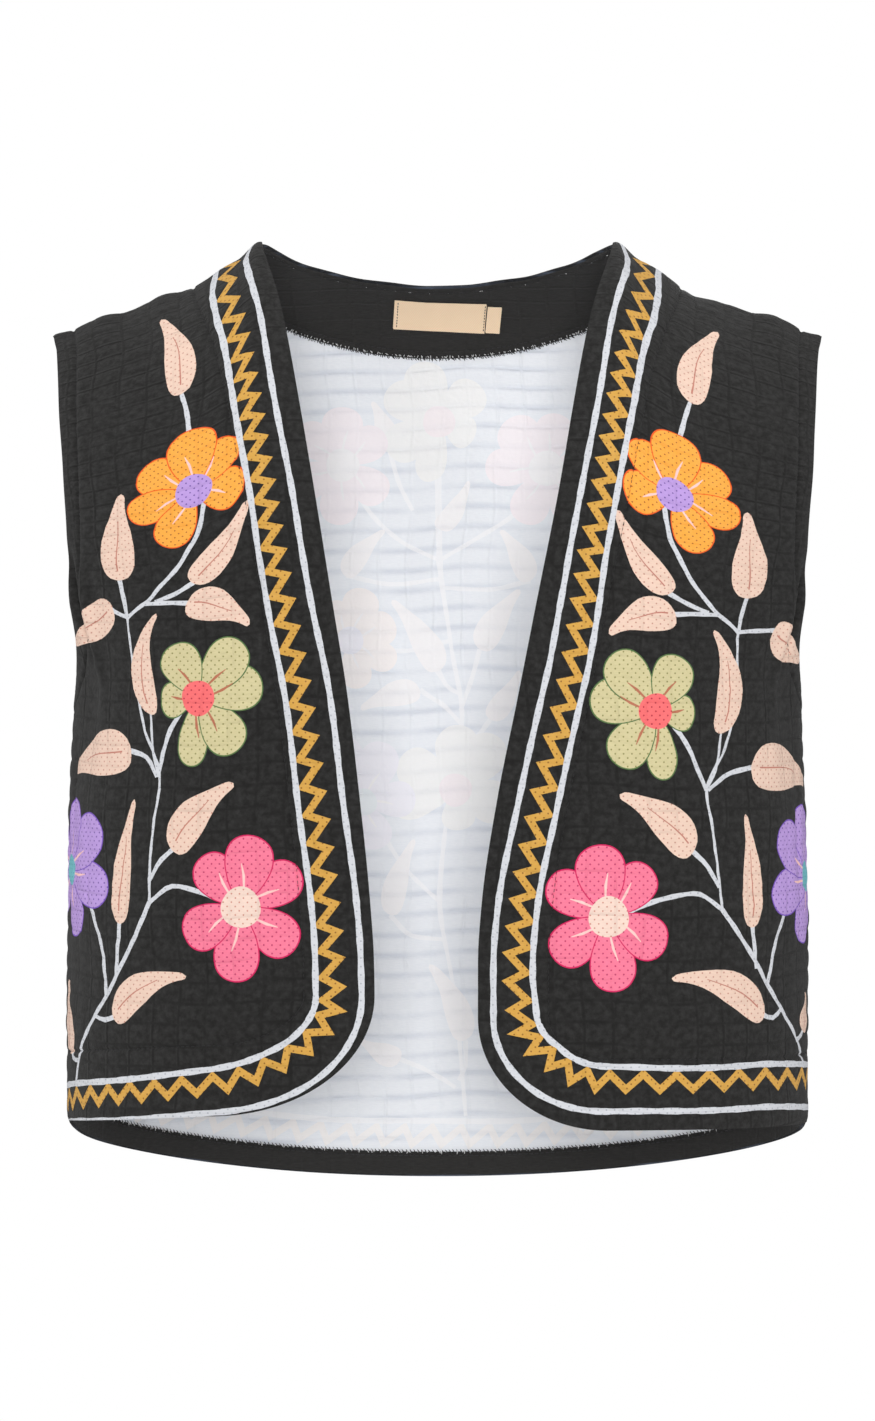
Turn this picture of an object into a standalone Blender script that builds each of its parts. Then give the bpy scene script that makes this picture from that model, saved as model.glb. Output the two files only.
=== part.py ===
"""Open-front cropped waistcoat of cotton double gauze, in the hollow form that it has when worn.

x runs across the wearer, y to the wearer's back and z up. The origin lies between the two neck ends
of the shoulder seams, where the shoulders carry the garment. Every panel is a loft through sections
that widen and deepen from the shoulder seam to the hem. A place on a panel is given on the cloth:
across, from the centre plane along the section, and down, from the shoulder seam along the cloth.
"""

import bpy
import numpy as np
from mathutils import Vector
from mathutils.bvhtree import BVHTree

for old in list(bpy.data.objects):
    bpy.data.objects.remove(old)

# Driving dimensions, in metres
WALL = 0.0014               # double gauze of the fronts and back
FACING_WALL = 0.0010
TAPE_WALL = 0.0010
CLEARANCE = 0.00035         # between layers that are sewn flat on each other
TAPE_CLEARANCE = 0.00035
SEAM_HALF_GAP = 0.00032     # from the shoulder or side seam to a panel's outer edge
FACING_SEAM_HALF_GAP = 0.00030
SEAM_ROW = 0.004            # the row of cells beside the shoulder seam, which keeps its edge upright
FRONT_FACING_WIDTH = 0.039
NECK_FACING_WIDTH = 0.051
BACK_HEM_WIDTH = 0.014
NECK_HALF_WIDTH = 0.097
BACK_NECK_HEIGHT = -0.0186  # of its middle
UNDERARM_HEIGHT = -0.249
SIDE_HEM_HEIGHT = -0.4815
CENTRE_BACK_DROP = 0.0395   # of the back hem, below the side seams
ROUNDNESS = 2.35            # exponent of the sections: 2 is an ellipse, more is squarer

# Number of mesh cells
BAND_CELLS = 3
FRONT_COLUMNS = 12
ARMHOLE_ROWS = 18
SIDE_ROWS = 13
BACK_NECK_COLUMNS = 11
BACK_SHOULDER_COLUMNS = 5
BACK_SIDE_ROWS = 15


def table(names, *rows):
    """The columns of a small table, by name."""
    return {name: np.array(column, dtype=float) for name, column in zip(names.split(), zip(*rows))}


FRONT_SECTIONS = table(
    "height half_width depth",
    (0.0000, 0.2290, 0.000),
    (-0.0003, 0.2290, 0.009),
    (-0.0035, 0.2285, 0.019),
    (-0.0100, 0.2280, 0.032),
    (-0.0300, 0.2275, 0.056),
    (-0.0600, 0.2270, 0.077),
    (-0.1000, 0.2240, 0.096),
    (-0.1500, 0.2190, 0.111),
    (-0.2000, 0.2090, 0.118),
    (-0.2490, 0.1990, 0.120),
    (-0.3200, 0.2015, 0.118),
    (-0.4000, 0.2025, 0.114),
    (-0.5400, 0.2030, 0.109),
)
BACK_SECTIONS = table(
    "height half_width depth",
    (0.0000, 0.2290, 0.000),
    (-0.0003, 0.2290, 0.010),
    (-0.0035, 0.2285, 0.024),
    (-0.0100, 0.2280, 0.038),
    (-0.0200, 0.2275, 0.054),
    (-0.0400, 0.2270, 0.074),
    (-0.0800, 0.2255, 0.094),
    (-0.1300, 0.2210, 0.105),
    (-0.1900, 0.2110, 0.110),
    (-0.2490, 0.1990, 0.110),
    (-0.3200, 0.2015, 0.107),
    (-0.4800, 0.2030, 0.104),
    (-0.5400, 0.2030, 0.103),
)
SHOULDER_LINE = table(
    "across height",
    (0.000, 0.0000),
    (0.097, 0.0000),
    (0.111, -0.0095),
    (0.126, -0.0205),
    (0.150, -0.0315),
    (0.187, -0.0430),
    (0.211, -0.0515),
    (0.230, -0.0580),
)
ARMHOLE = table(
    "height across",
    (-0.0515, 0.2110),
    (-0.0600, 0.2085),
    (-0.1000, 0.2050),
    (-0.1500, 0.2015),
    (-0.2000, 0.1988),
)
FRONT_EDGE = table(
    "height wearer_right wearer_left",
    (0.000, 0.0970, 0.0970),
    (-0.035, 0.0850, 0.0845),
    (-0.058, 0.0800, 0.0790),
    (-0.091, 0.0738, 0.0728),
    (-0.145, 0.0644, 0.0633),
    (-0.198, 0.0558, 0.0526),
    (-0.251, 0.0473, 0.0421),
    (-0.304, 0.0410, 0.0315),
    (-0.357, 0.0357, 0.0235),
    (-0.390, 0.0336, 0.0214),
    (-0.430, 0.0330, 0.0214),
)
FRONT_CORNER = {
    "wearer_right": {"width": 0.090, "height": 0.065, "hem": -0.4725},
    "wearer_left": {"width": 0.070, "height": 0.060, "hem": -0.4795},
}
# Soft troughs that run down from the armholes, measured from the side seam
FOLDS = table(
    "side from_seam_top from_seam_end top end half_width depth",
    (-1, 0.056, 0.046, -0.185, -0.310, 0.013, 0.0035),
    (-1, 0.100, 0.088, -0.230, -0.400, 0.020, 0.0018),
    (1, 0.054, 0.048, -0.190, -0.330, 0.015, 0.0030),
    (1, 0.125, 0.120, -0.260, -0.440, 0.024, 0.0016),
)


def smooth(at, xs, ys):
    """A curve through the points of a table, which never swings past them."""
    if xs[0] > xs[-1]:
        xs, ys = xs[::-1], ys[::-1]
    at = np.clip(at, xs[0], xs[-1])
    step = np.diff(xs)
    slope = np.diff(ys) / step
    turn = slope[:-1] * slope[1:]
    total = np.where(turn > 0, slope[:-1] + slope[1:], 1.0)
    middle = np.where(turn > 0, 2 * turn / total, 0.0)
    tangent = np.concatenate([slope[:1], middle, slope[-1:]])
    k = np.clip(np.searchsorted(xs, at, side="right") - 1, 0, len(step) - 1)
    t = (at - xs[k]) / step[k]
    start = (1 + 2 * t) * (1 - t) ** 2 * ys[k] + t * (1 - t) ** 2 * step[k] * tangent[k]
    end = t * t * (3 - 2 * t) * ys[k + 1] + t * t * (t - 1) * step[k] * tangent[k + 1]
    return start + end


class Form:
    """The front or the back of the worn form: side is -1 in front and 1 at the back."""

    def __init__(self, sections, side):
        self.sections = sections
        self.side = side
        steps = np.hypot(np.diff(sections["height"]), np.diff(sections["depth"]))
        self.down = np.concatenate([[0.0], np.cumsum(steps)])

    def column(self, name, down):
        return smooth(down, self.down, self.sections[name])

    def shoulder_share(self, height):
        """How much of the shoulder's slope a row has: all at the seam, none at the underarm."""
        t = np.clip(1 - height / UNDERARM_HEIGHT, 0, 1)
        return t * t * (3 - 2 * t)

    def height_at(self, x, down):
        row = self.column("height", down)
        slope = smooth(np.abs(x), SHOULDER_LINE["across"], SHOULDER_LINE["height"])
        return row + self.shoulder_share(row) * slope

    def arc(self, down):
        """Angles along each row's section, and the cloth's length from the centre to each."""
        angle = np.linspace(np.pi / 2, 0, 61)
        half = self.column("half_width", down)[:, None]
        depth = self.column("depth", down)[:, None]
        x = half * np.cos(angle).clip(0) ** (2 / ROUNDNESS)
        y = depth * np.sin(angle) ** (2 / ROUNDNESS)
        steps = np.hypot(np.diff(x, axis=1), np.diff(y, axis=1))
        length = np.concatenate([np.zeros((len(down), 1)), np.cumsum(steps, axis=1)], axis=1)
        return angle, length

    def seam_at(self, down):
        """Length across the cloth, from the centre to the side."""
        return self.arc(np.atleast_1d(down))[1][:, -1]

    def base(self, across, down):
        across, down = np.broadcast_arrays(across, down)
        shape = across.shape
        across, down = across.ravel(), down.ravel()
        angle, length = self.arc(down)
        reach = np.abs(across)
        k = np.clip((length < reach[:, None]).sum(axis=1) - 1, 0, len(angle) - 2)
        rows = np.arange(len(down))
        first = length[rows, k]
        t = (reach - first) / (length[rows, k + 1] - first)
        turned = angle[k] + t.clip(0, 1) * (angle[k + 1] - angle[k])
        x = self.column("half_width", down) * np.cos(turned).clip(0) ** (2 / ROUNDNESS)
        y = self.column("depth", down) * np.sin(turned).clip(0) ** (2 / ROUNDNESS)
        z = self.height_at(x, down)
        return np.stack([np.sign(across) * x, self.side * y, z], axis=-1).reshape(shape + (3,))

    def normal(self, across, down):
        step = 0.001
        inner = np.clip(np.abs(across), step, None) * np.where(across < 0, -1, 1)
        side_step = self.base(inner + step, down) - self.base(inner - step, down)
        down_step = self.base(across, down + step) - self.base(across, np.maximum(down - step, 0))
        cross = np.cross(down_step, side_step)
        cross *= -self.side
        return cross / np.linalg.norm(cross, axis=-1, keepdims=True)

    def fold(self, across, down):
        """Depth of the soft troughs at a place on the cloth."""
        from_seam = self.seam_at(down.ravel()).reshape(down.shape) - np.abs(across)
        height = self.column("height", down)
        total = np.zeros_like(height)
        for k in np.flatnonzero(FOLDS["side"] == self.side):
            along = (FOLDS["top"][k] - height) / (FOLDS["top"][k] - FOLDS["end"][k])
            middle = FOLDS["from_seam_top"][k] * (1 - along) + FOLDS["from_seam_end"][k] * along
            window = np.sin(np.pi * along.clip(0, 1)) ** 2
            spread = np.exp(-(((from_seam - middle) / FOLDS["half_width"][k]) ** 2))
            total += FOLDS["depth"][k] * window * spread
        return total

    def place(self, across, down, inward=0.0):
        normal = self.normal(across, down)
        return self.base(across, down) - normal * (self.fold(across, down) + inward)[..., None]

    def down_at(self, x, height):
        """The length down the cloth at which the form passes a height, found by halving."""
        low = np.zeros_like(height)
        high = np.full_like(height, self.down[-1])
        for _ in range(40):
            middle = (low + high) / 2
            below = self.height_at(x, middle) < height
            high = np.where(below, middle, high)
            low = np.where(below, low, middle)
        return (low + high) / 2

    def cloth(self, x, height):
        """Places on the cloth, as rows of across and down, from x and height."""
        x, height = np.broadcast_arrays(np.asarray(x, float), np.asarray(height, float))
        down = self.down_at(x, height)
        half = self.column("half_width", down)
        angle, length = self.arc(down)
        turned = np.arccos((x / half).clip(0, 1) ** (ROUNDNESS / 2))
        across = [np.interp(-turn, -angle, row) for turn, row in zip(turned, length)]
        return np.stack([across, down], axis=-1)


def resample(points, count, start=0.0, end=1.0, first=0, last=0):
    """Evenly spaced points along a polyline, between two shares of its length.

    The first or last few cells may be those of one narrow step beside a seam.
    """
    steps = np.linalg.norm(np.diff(points, axis=0), axis=1)
    length = np.concatenate([[0.0], np.cumsum(steps)])
    at = np.linspace(start, end, count + 1) * length[-1]
    if first:
        at[:first + 1] = np.linspace(at[0], at[0] + SEAM_ROW, first + 1)
        at[first:] = np.linspace(at[first], at[-1], count - first + 1)
    if last:
        at[count - last:] = np.linspace(at[-1] - SEAM_ROW, at[-1], last + 1)
        at[:count - last + 1] = np.linspace(at[0], at[count - last], count - last + 1)
    return np.stack([np.interp(at, length, points[:, k]) for k in range(2)], axis=-1)


def inset(points, width, first_angle, last_angle):
    """A curve one width inside an outline, which ends along the two seams that it runs into."""
    tangent = np.gradient(points, axis=0)
    angle = np.unwrap(np.arctan2(-tangent[:, 0], tangent[:, 1]))
    share = np.linspace(0, 1, len(points))
    angle = angle + (first_angle - angle[0]) * (1 - share) ** 8 + (last_angle - angle[-1]) * share ** 8
    return points + width * np.stack([np.cos(angle), np.sin(angle)], axis=-1)


def patch(top, bottom, left, right):
    """Places between four curves: a Coons patch with its rows running down."""
    t = np.linspace(0, 1, len(left))[:, None, None]
    s = np.linspace(0, 1, len(top))[None, :, None]
    ruled = (1 - t) * top[None] + t * bottom[None] + (1 - s) * left[:, None] + s * right[:, None]
    corners = (1 - t) * ((1 - s) * top[0] + s * top[-1]) + t * ((1 - s) * bottom[0] + s * bottom[-1])
    return ruled - corners


def armhole_and_side(form, hem_width):
    """The armhole down to the underarm, then the side seam to the hem's inner line and its edge."""
    height = np.linspace(ARMHOLE["height"][0], ARMHOLE["height"][-1], 40)
    upper = form.cloth(smooth(height, ARMHOLE["height"], ARMHOLE["across"]), height)
    upper[0, 1] = 0.0
    underarm = form.down_at(np.zeros(1), np.array([UNDERARM_HEIGHT]))[0]
    seam = form.seam_at(underarm)[0] - SEAM_HALF_GAP
    turn = np.linspace(0, np.pi / 2, 30)[1:]
    reach, fall = seam - upper[-1, 0], underarm - upper[-1, 1]
    lower = upper[-1] + np.stack([reach * (1 - np.cos(turn)), fall * np.sin(turn)], axis=-1)
    hem = form.down_at(np.zeros(1), np.array([SIDE_HEM_HEIGHT]))[0]
    down = np.linspace(underarm, hem, 60)
    side = np.stack([form.seam_at(down) - SEAM_HALF_GAP, down], axis=-1)
    share = 1 - hem_width / (hem - underarm)
    return np.concatenate([upper, lower]), side, share


def front_places(form, name, scale=1):
    """Grid of places on a front, with its edge band, and the band that its facing backs."""
    band, columns = BAND_CELLS * scale, FRONT_COLUMNS * scale
    armhole_rows, side_rows = ARMHOLE_ROWS * scale, SIDE_ROWS * scale
    corner = FRONT_CORNER[name]
    top = corner["hem"] + corner["height"]
    height = np.linspace(0, top, 60)
    edge = form.cloth(smooth(height, FRONT_EDGE["height"], FRONT_EDGE[name]), height)
    edge[0, 1] = 0.0
    turn = np.linspace(0, np.pi / 2, 40)[1:]
    start = smooth(top, FRONT_EDGE["height"], FRONT_EDGE[name])
    x = start + corner["width"] * (1 - np.cos(turn))
    arc = form.cloth(x, top - corner["height"] * np.sin(turn))
    armhole, side, share = armhole_and_side(form, FRONT_FACING_WIDTH)
    hem = resample(np.array([arc[-1], side[-1]]), 40)[1:]
    outline = resample(np.concatenate([edge, arc, hem]), 1200)
    inner = inset(outline, FRONT_FACING_WIDTH, 0.0, -np.pi / 2)
    inner[-1] = resample(side, 1, 0.0, share)[-1]
    middle = np.argmin(np.linalg.norm(outline - arc[len(arc) // 2], axis=1)) / 1200
    reach = FRONT_FACING_WIDTH / (np.linalg.norm(np.diff(outline, axis=0), axis=1).sum())
    rows = armhole_rows + side_rows
    edge_out = resample(outline, rows, 0.0, middle - reach, first=scale)
    corner_out = resample(outline, band, middle - reach, middle)
    corner_hem = resample(outline, band, middle, middle + reach)
    hem_out = resample(outline, columns, middle + reach, 1.0)
    split = int(round(middle * 1200))
    edge_in = resample(inner[: split + 1], rows, first=scale)
    hem_in = resample(inner[split:], columns)
    seam = resample(np.array([outline[0], armhole[0]]), 1000)
    seam_band = resample(np.array([seam[0], edge_in[0]]), band)
    seam_rest = resample(np.array([edge_in[0], armhole[0]]), columns)
    right = np.concatenate([resample(armhole, armhole_rows, first=scale), resample(side, side_rows, 0.0, share)[1:]])
    side_band = resample(side, band, share, 1.0)
    cross_edge = resample(np.array([edge_out[-1], edge_in[-1]]), band)
    cross_hem = resample(np.array([edge_in[-1], hem_out[0]]), band)
    grid = np.zeros((rows + band + 1, columns + band + 1, 2))
    grid[: rows + 1, : band + 1] = patch(seam_band, cross_edge, edge_out, edge_in)
    grid[: rows + 1, band:] = patch(seam_rest, hem_in, edge_in, right)
    grid[rows:, : band + 1] = patch(cross_edge, corner_hem, corner_out, cross_hem)
    grid[rows:, band:] = patch(hem_in, hem_out, cross_hem, side_band)
    whole = np.ones((rows + band, columns + band), dtype=bool)
    facing = whole.copy()
    facing[:rows, band:] = False
    return grid, whole, facing


def back_places(form, scale=1):
    """Grid of places on the back, and which of its cells are cloth, neck facing and hem facing."""
    band = BAND_CELLS * scale
    neck_columns, shoulder_columns = BACK_NECK_COLUMNS * scale, BACK_SHOULDER_COLUMNS * scale
    armhole_rows, side_rows = ARMHOLE_ROWS * scale, BACK_SIDE_ROWS * scale
    hem_rows = scale
    centre_neck = form.cloth([0.0], [BACK_NECK_HEIGHT])[0, 1]
    neck_end = form.cloth([NECK_HALF_WIDTH], [0.0])[0, 0]
    turn = np.linspace(0, np.pi / 2, 60)[:, None]
    neck = resample(np.hstack([neck_end * np.sin(turn), centre_neck * np.cos(turn)]), 400)
    share_along = np.linspace(0, 1, len(neck))
    width = NECK_FACING_WIDTH + (FRONT_FACING_WIDTH - NECK_FACING_WIDTH) * share_along[:, None]
    neck_in = inset(neck[::-1], width[::-1], 0.0, np.pi / 2)[::-1]
    armhole, side, share = armhole_and_side(form, BACK_HEM_WIDTH)
    across = np.linspace(0, side[-1, 0], 80)
    drop = CENTRE_BACK_DROP * (1 - (across / across[-1]) ** 2.2)
    hem = form.cloth(np.zeros_like(across), SIDE_HEM_HEIGHT - drop)
    hem[:, 0] = across
    hem[-1] = side[-1]
    hem_in = hem - np.array([0.0, BACK_HEM_WIDTH])
    hem_in[-1] = resample(side, 1, 0.0, share)[-1]
    neck_out = resample(neck, neck_columns, last=scale)
    neck_line = resample(neck_in, neck_columns, last=scale)
    seam_band = resample(np.array([neck_out[-1], neck_line[-1]]), band)
    seam_rest = resample(np.array([neck_line[-1], armhole[0]]), shoulder_columns)
    top = np.concatenate([neck_line, seam_rest[1:]])
    right = np.concatenate([resample(armhole, armhole_rows, first=scale), resample(side, side_rows, 0.0, share)[1:]])
    columns, rows = len(top) - 1, len(right) - 1
    centre = resample(np.array([neck_line[0], hem_in[0]]), rows, first=scale)
    centre_band = resample(np.array([neck_out[0], neck_line[0]]), band)
    bottom = resample(hem_in, columns)
    centre_hem = resample(np.array([hem_in[0], hem[0]]), hem_rows)
    side_hem = resample(side, hem_rows, share, 1.0)
    half = np.zeros((band + rows + hem_rows + 1, columns + 1, 2))
    half[: band + 1, : neck_columns + 1] = patch(neck_out, neck_line, centre_band, seam_band)
    half[: band, neck_columns + 1:] = seam_rest[1:][None]
    half[band: band + rows + 1] = patch(top, bottom, centre, right)
    half[band + rows:] = patch(bottom, resample(hem, columns), centre_hem, side_hem)
    mirrored = half[:, :0:-1] * np.array([-1.0, 1.0])
    grid = np.concatenate([mirrored, half], axis=1)
    cloth = np.ones((grid.shape[0] - 1, grid.shape[1] - 1), dtype=bool)
    cloth[:band, :shoulder_columns] = False
    cloth[:band, -shoulder_columns:] = False
    neck_facing = cloth.copy()
    neck_facing[band:] = False
    hem_facing = cloth.copy()
    hem_facing[: band + rows] = False
    return grid, cloth, neck_facing, hem_facing


def cloth_material(name, colour):
    material = bpy.data.materials.new(name)
    material.use_nodes = True
    shader = material.node_tree.nodes["Principled BSDF"]
    shader.inputs["Base Color"].default_value = (*colour, 1.0)
    shader.inputs["Roughness"].default_value = 0.9
    shader.inputs["Metallic"].default_value = 0.0
    return material


def sewn_piece(name, points, cells, wall, material, flip, fan_corner=False):
    """One piece of cloth: an open loft through rows of points, thickened inward by Solidify."""
    rows, columns = points.shape[:2]
    number = np.arange(rows * columns).reshape(rows, columns)
    faces = []
    for row, column in zip(*np.nonzero(cells)):
        quad = [number[row, column], number[row + 1, column],
                number[row + 1, column + 1], number[row, column + 1]]
        # the cell at a rounded corner is cut from its outer point to its inner one
        if fan_corner and row == rows - 2 and column == 0:
            faces += [[quad[1], quad[2], quad[3]], [quad[1], quad[3], quad[0]]]
        else:
            faces.append(quad)
    if flip:
        faces = [face[::-1] for face in faces]
    used = np.unique([corner for face in faces for corner in face])
    renumber = {old: new for new, old in enumerate(used)}
    mesh = bpy.data.meshes.new(name)
    vertices = points.reshape(-1, 3)[used].tolist()
    mesh.from_pydata(vertices, [], [[renumber[corner] for corner in face] for face in faces])
    mesh.shade_smooth()
    mesh.materials.append(material)
    piece = bpy.data.objects.new(name, mesh)
    collection.objects.link(piece)
    solidify = piece.modifiers.new("cloth_wall", "SOLIDIFY")
    solidify.thickness = wall
    solidify.offset = -1.0
    return piece


def keep_off_seam(points, form, half_gap):
    """Moves a piece's edge at the shoulder and side seams clear of the seam plane, y = 0."""
    y = points[..., 1] * form.side
    points[..., 1] = form.side * np.maximum(y, half_gap)
    return points


def laid_inside(under, form, across, down, clearance):
    """Points on the inner face of the solid beneath, moved in by a clearance."""
    tree = BVHTree.FromObject(under, bpy.context.evaluated_depsgraph_get())
    outward = form.normal(across, down)
    start = form.base(across, down) - outward * 0.02
    points = np.zeros_like(start)
    for place in np.ndindex(across.shape):
        hit = tree.ray_cast(Vector(start[place]), Vector(outward[place]))[0]
        points[place] = np.array(hit) - outward[place] * clearance
    return points


collection = bpy.data.collections.new("waistcoat")
bpy.context.scene.collection.children.link(collection)

printed = cloth_material("printed_black_gauze", (0.033, 0.031, 0.030))
facing_cloth = cloth_material("black_gauze_facing", (0.035, 0.033, 0.032))
tape = cloth_material("peach_twill_tape", (0.79, 0.58, 0.41))

front = Form(FRONT_SECTIONS, -1)
back = Form(BACK_SECTIONS, 1)
under_panel = WALL + CLEARANCE

# Fronts: the wearer's right one hangs at -x, so its places are mirrored
for name, mirror in (("wearer_right", -1.0), ("wearer_left", 1.0)):
    grid, cells, facing_cells = front_places(front, name)
    across, down = grid[..., 0] * mirror, grid[..., 1]
    panel = keep_off_seam(front.place(across, down), front, SEAM_HALF_GAP)
    sewn_piece("front_" + name, panel, cells, WALL, printed, mirror < 0, fan_corner=True)
    lining = front.place(across, down, np.full_like(across, under_panel))
    lining = keep_off_seam(lining, front, FACING_SEAM_HALF_GAP)
    sewn_piece("front_facing_" + name, lining, facing_cells, FACING_WALL, facing_cloth,
               mirror < 0, fan_corner=True)

# Back: one piece, with a facing under its neck and a turned allowance inside its hem
grid, cells, neck_cells, hem_cells = back_places(back)
across, down = grid[..., 0], grid[..., 1]
panel = keep_off_seam(back.place(across, down), back, SEAM_HALF_GAP)
sewn_piece("back", panel, cells, WALL, printed, True)
lining = back.place(across, down, np.full_like(across, under_panel))
lining = keep_off_seam(lining, back, FACING_SEAM_HALF_GAP)
neck_facing = sewn_piece("back_neck_facing", lining, neck_cells, FACING_WALL, facing_cloth, True)
sewn_piece("back_hem_facing", lining, hem_cells, FACING_WALL, facing_cloth, True)

# Tapes: laid on the neck facing, a little askew, from its own points moved in
TAPES = {
    "neck_label": {"left": -0.0239, "top": 0.0098, "length": 0.0516, "width": 0.0215, "tilt": 3.2},
    "size_tab": {"left": 0.0282, "top": 0.0148, "length": 0.0080, "width": 0.0190, "tilt": 4.0},
}
centre_neck = back.cloth([0.0], [BACK_NECK_HEIGHT])[0, 1]
for name, tape_cut in TAPES.items():
    along = np.linspace(0, tape_cut["length"], 6)[None, :]
    drop = np.linspace(0, tape_cut["width"], 4)[:, None]
    tilt = np.radians(tape_cut["tilt"])
    across = tape_cut["left"] + along * np.cos(tilt) - drop * np.sin(tilt)
    down = centre_neck + tape_cut["top"] + along * np.sin(tilt) + drop * np.cos(tilt)
    points = laid_inside(neck_facing, back, across, down, TAPE_CLEARANCE)
    sewn_piece(name, points, np.ones((3, 5), dtype=bool), TAPE_WALL, tape, True)
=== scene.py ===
"""Open-front cropped waistcoat of printed cotton double gauze, in the hollow form that it has when worn.

x runs to the wearer's left, y to the wearer's back and z up, in metres. A place on the cloth is
across, from the centre plane along the section, and down, from the shoulder seam along the cloth.
"""

import bpy
import numpy as np
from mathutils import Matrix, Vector
from mathutils.geometry import delaunay_2d_cdt
from mathutils.kdtree import KDTree


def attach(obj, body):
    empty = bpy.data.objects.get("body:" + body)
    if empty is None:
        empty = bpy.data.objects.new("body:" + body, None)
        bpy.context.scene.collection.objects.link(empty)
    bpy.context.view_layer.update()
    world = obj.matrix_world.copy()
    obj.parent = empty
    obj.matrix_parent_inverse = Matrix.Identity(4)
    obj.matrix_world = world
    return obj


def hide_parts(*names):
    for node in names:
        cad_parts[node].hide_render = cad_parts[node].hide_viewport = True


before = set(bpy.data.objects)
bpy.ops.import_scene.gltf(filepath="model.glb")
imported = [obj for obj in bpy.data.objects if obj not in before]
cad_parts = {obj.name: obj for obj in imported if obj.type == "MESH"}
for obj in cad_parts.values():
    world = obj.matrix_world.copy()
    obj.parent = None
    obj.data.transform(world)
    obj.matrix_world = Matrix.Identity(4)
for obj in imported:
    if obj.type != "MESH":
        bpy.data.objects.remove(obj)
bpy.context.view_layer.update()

# The worn form
# Every panel lies on a form that widens and deepens from the shoulder seams, which carry the
# garment, down to the hem. Its sections are rounded rectangles, squarer than an ellipse.

WALL = 0.0014
CLEARANCE = 0.00035
UNDERARM_HEIGHT = -0.249
SIDE_HEM_HEIGHT = -0.4815
ROUNDNESS = 2.35
HALVINGS = 40


def table(names, *rows):
    """The columns of a small table, by name."""
    return {name: np.array(column, dtype=float) for name, column in zip(names.split(), zip(*rows))}


FRONT_SECTIONS = table(
    "height half_width depth",
    (0.0000, 0.2290, 0.000),
    (-0.0003, 0.2290, 0.009),
    (-0.0035, 0.2285, 0.019),
    (-0.0100, 0.2280, 0.032),
    (-0.0300, 0.2275, 0.056),
    (-0.0600, 0.2270, 0.077),
    (-0.1000, 0.2240, 0.096),
    (-0.1500, 0.2190, 0.111),
    (-0.2000, 0.2090, 0.118),
    (-0.2490, 0.1990, 0.120),
    (-0.3200, 0.2015, 0.118),
    (-0.4000, 0.2025, 0.114),
    (-0.5400, 0.2030, 0.109),
)
BACK_SECTIONS = table(
    "height half_width depth",
    (0.0000, 0.2290, 0.000),
    (-0.0003, 0.2290, 0.010),
    (-0.0035, 0.2285, 0.024),
    (-0.0100, 0.2280, 0.038),
    (-0.0200, 0.2275, 0.054),
    (-0.0400, 0.2270, 0.074),
    (-0.0800, 0.2255, 0.094),
    (-0.1300, 0.2210, 0.105),
    (-0.1900, 0.2110, 0.110),
    (-0.2490, 0.1990, 0.110),
    (-0.3200, 0.2015, 0.107),
    (-0.4800, 0.2030, 0.104),
    (-0.5400, 0.2030, 0.103),
)
SHOULDER_LINE = table(
    "across height",
    (0.000, 0.0000),
    (0.097, 0.0000),
    (0.111, -0.0095),
    (0.126, -0.0205),
    (0.150, -0.0315),
    (0.187, -0.0430),
    (0.211, -0.0515),
    (0.230, -0.0580),
)
# Troughs that run down from the armholes, and ridges where the depth is below zero: soft ones
# first, then the sharper creases, on one side of the body each. Each row gives the form's side,
# the body's side or 0 for both, the distances from the side seam at the fold's top and end, the
# heights of its top and end, its half width and its depth.
FOLDS = (
    (-1, 0, 0.056, 0.046, -0.185, -0.310, 0.0130, 0.0035),
    (-1, 0, 0.100, 0.088, -0.230, -0.400, 0.0200, 0.0018),
    (1, 0, 0.054, 0.048, -0.190, -0.330, 0.0150, 0.0030),
    (1, 0, 0.125, 0.120, -0.260, -0.440, 0.0240, 0.0016),
    (-1, -1, 0.062, 0.055, -0.140, -0.240, 0.0028, 0.0070),
    (-1, -1, 0.070, 0.063, -0.150, -0.270, 0.0042, -0.0034),
    (-1, -1, 0.033, 0.028, -0.250, -0.345, 0.0040, 0.0026),
    (-1, -1, 0.080, 0.066, -0.150, -0.235, 0.0050, 0.0012),
    (-1, 1, 0.060, 0.054, -0.150, -0.245, 0.0028, 0.0062),
    (-1, 1, 0.068, 0.060, -0.155, -0.280, 0.0042, -0.0028),
    (-1, 1, 0.036, 0.040, -0.260, -0.370, 0.0036, 0.0013),
    (1, -1, 0.050, 0.058, -0.205, -0.315, 0.0042, 0.0022),
    (1, -1, 0.064, 0.050, -0.240, -0.360, 0.0048, -0.0016),
    (1, 1, 0.046, 0.052, -0.200, -0.300, 0.0040, 0.0020),
    (1, 1, 0.068, 0.060, -0.230, -0.350, 0.0050, -0.0015),
)


def unit(vectors):
    """Vectors of the same directions, one metre long."""
    return vectors / np.linalg.norm(vectors, axis=-1, keepdims=True)


def smooth(at, xs, ys):
    """A curve through the points of a table, which never swings past them."""
    if xs[0] > xs[-1]:
        xs, ys = xs[::-1], ys[::-1]
    at = np.clip(at, xs[0], xs[-1])
    step = np.diff(xs)
    slope = np.diff(ys) / step
    turn = slope[:-1] * slope[1:]
    total = np.where(turn > 0, slope[:-1] + slope[1:], 1.0)
    middle = np.where(turn > 0, 2 * turn / total, 0.0)
    tangent = np.concatenate([slope[:1], middle, slope[-1:]])
    k = np.clip(np.searchsorted(xs, at, side="right") - 1, 0, len(step) - 1)
    t = (at - xs[k]) / step[k]
    start = (1 + 2 * t) * (1 - t) ** 2 * ys[k] + t * (1 - t) ** 2 * step[k] * tangent[k]
    end = t * t * (3 - 2 * t) * ys[k + 1] + t * t * (t - 1) * step[k] * tangent[k + 1]
    return start + end


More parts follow.
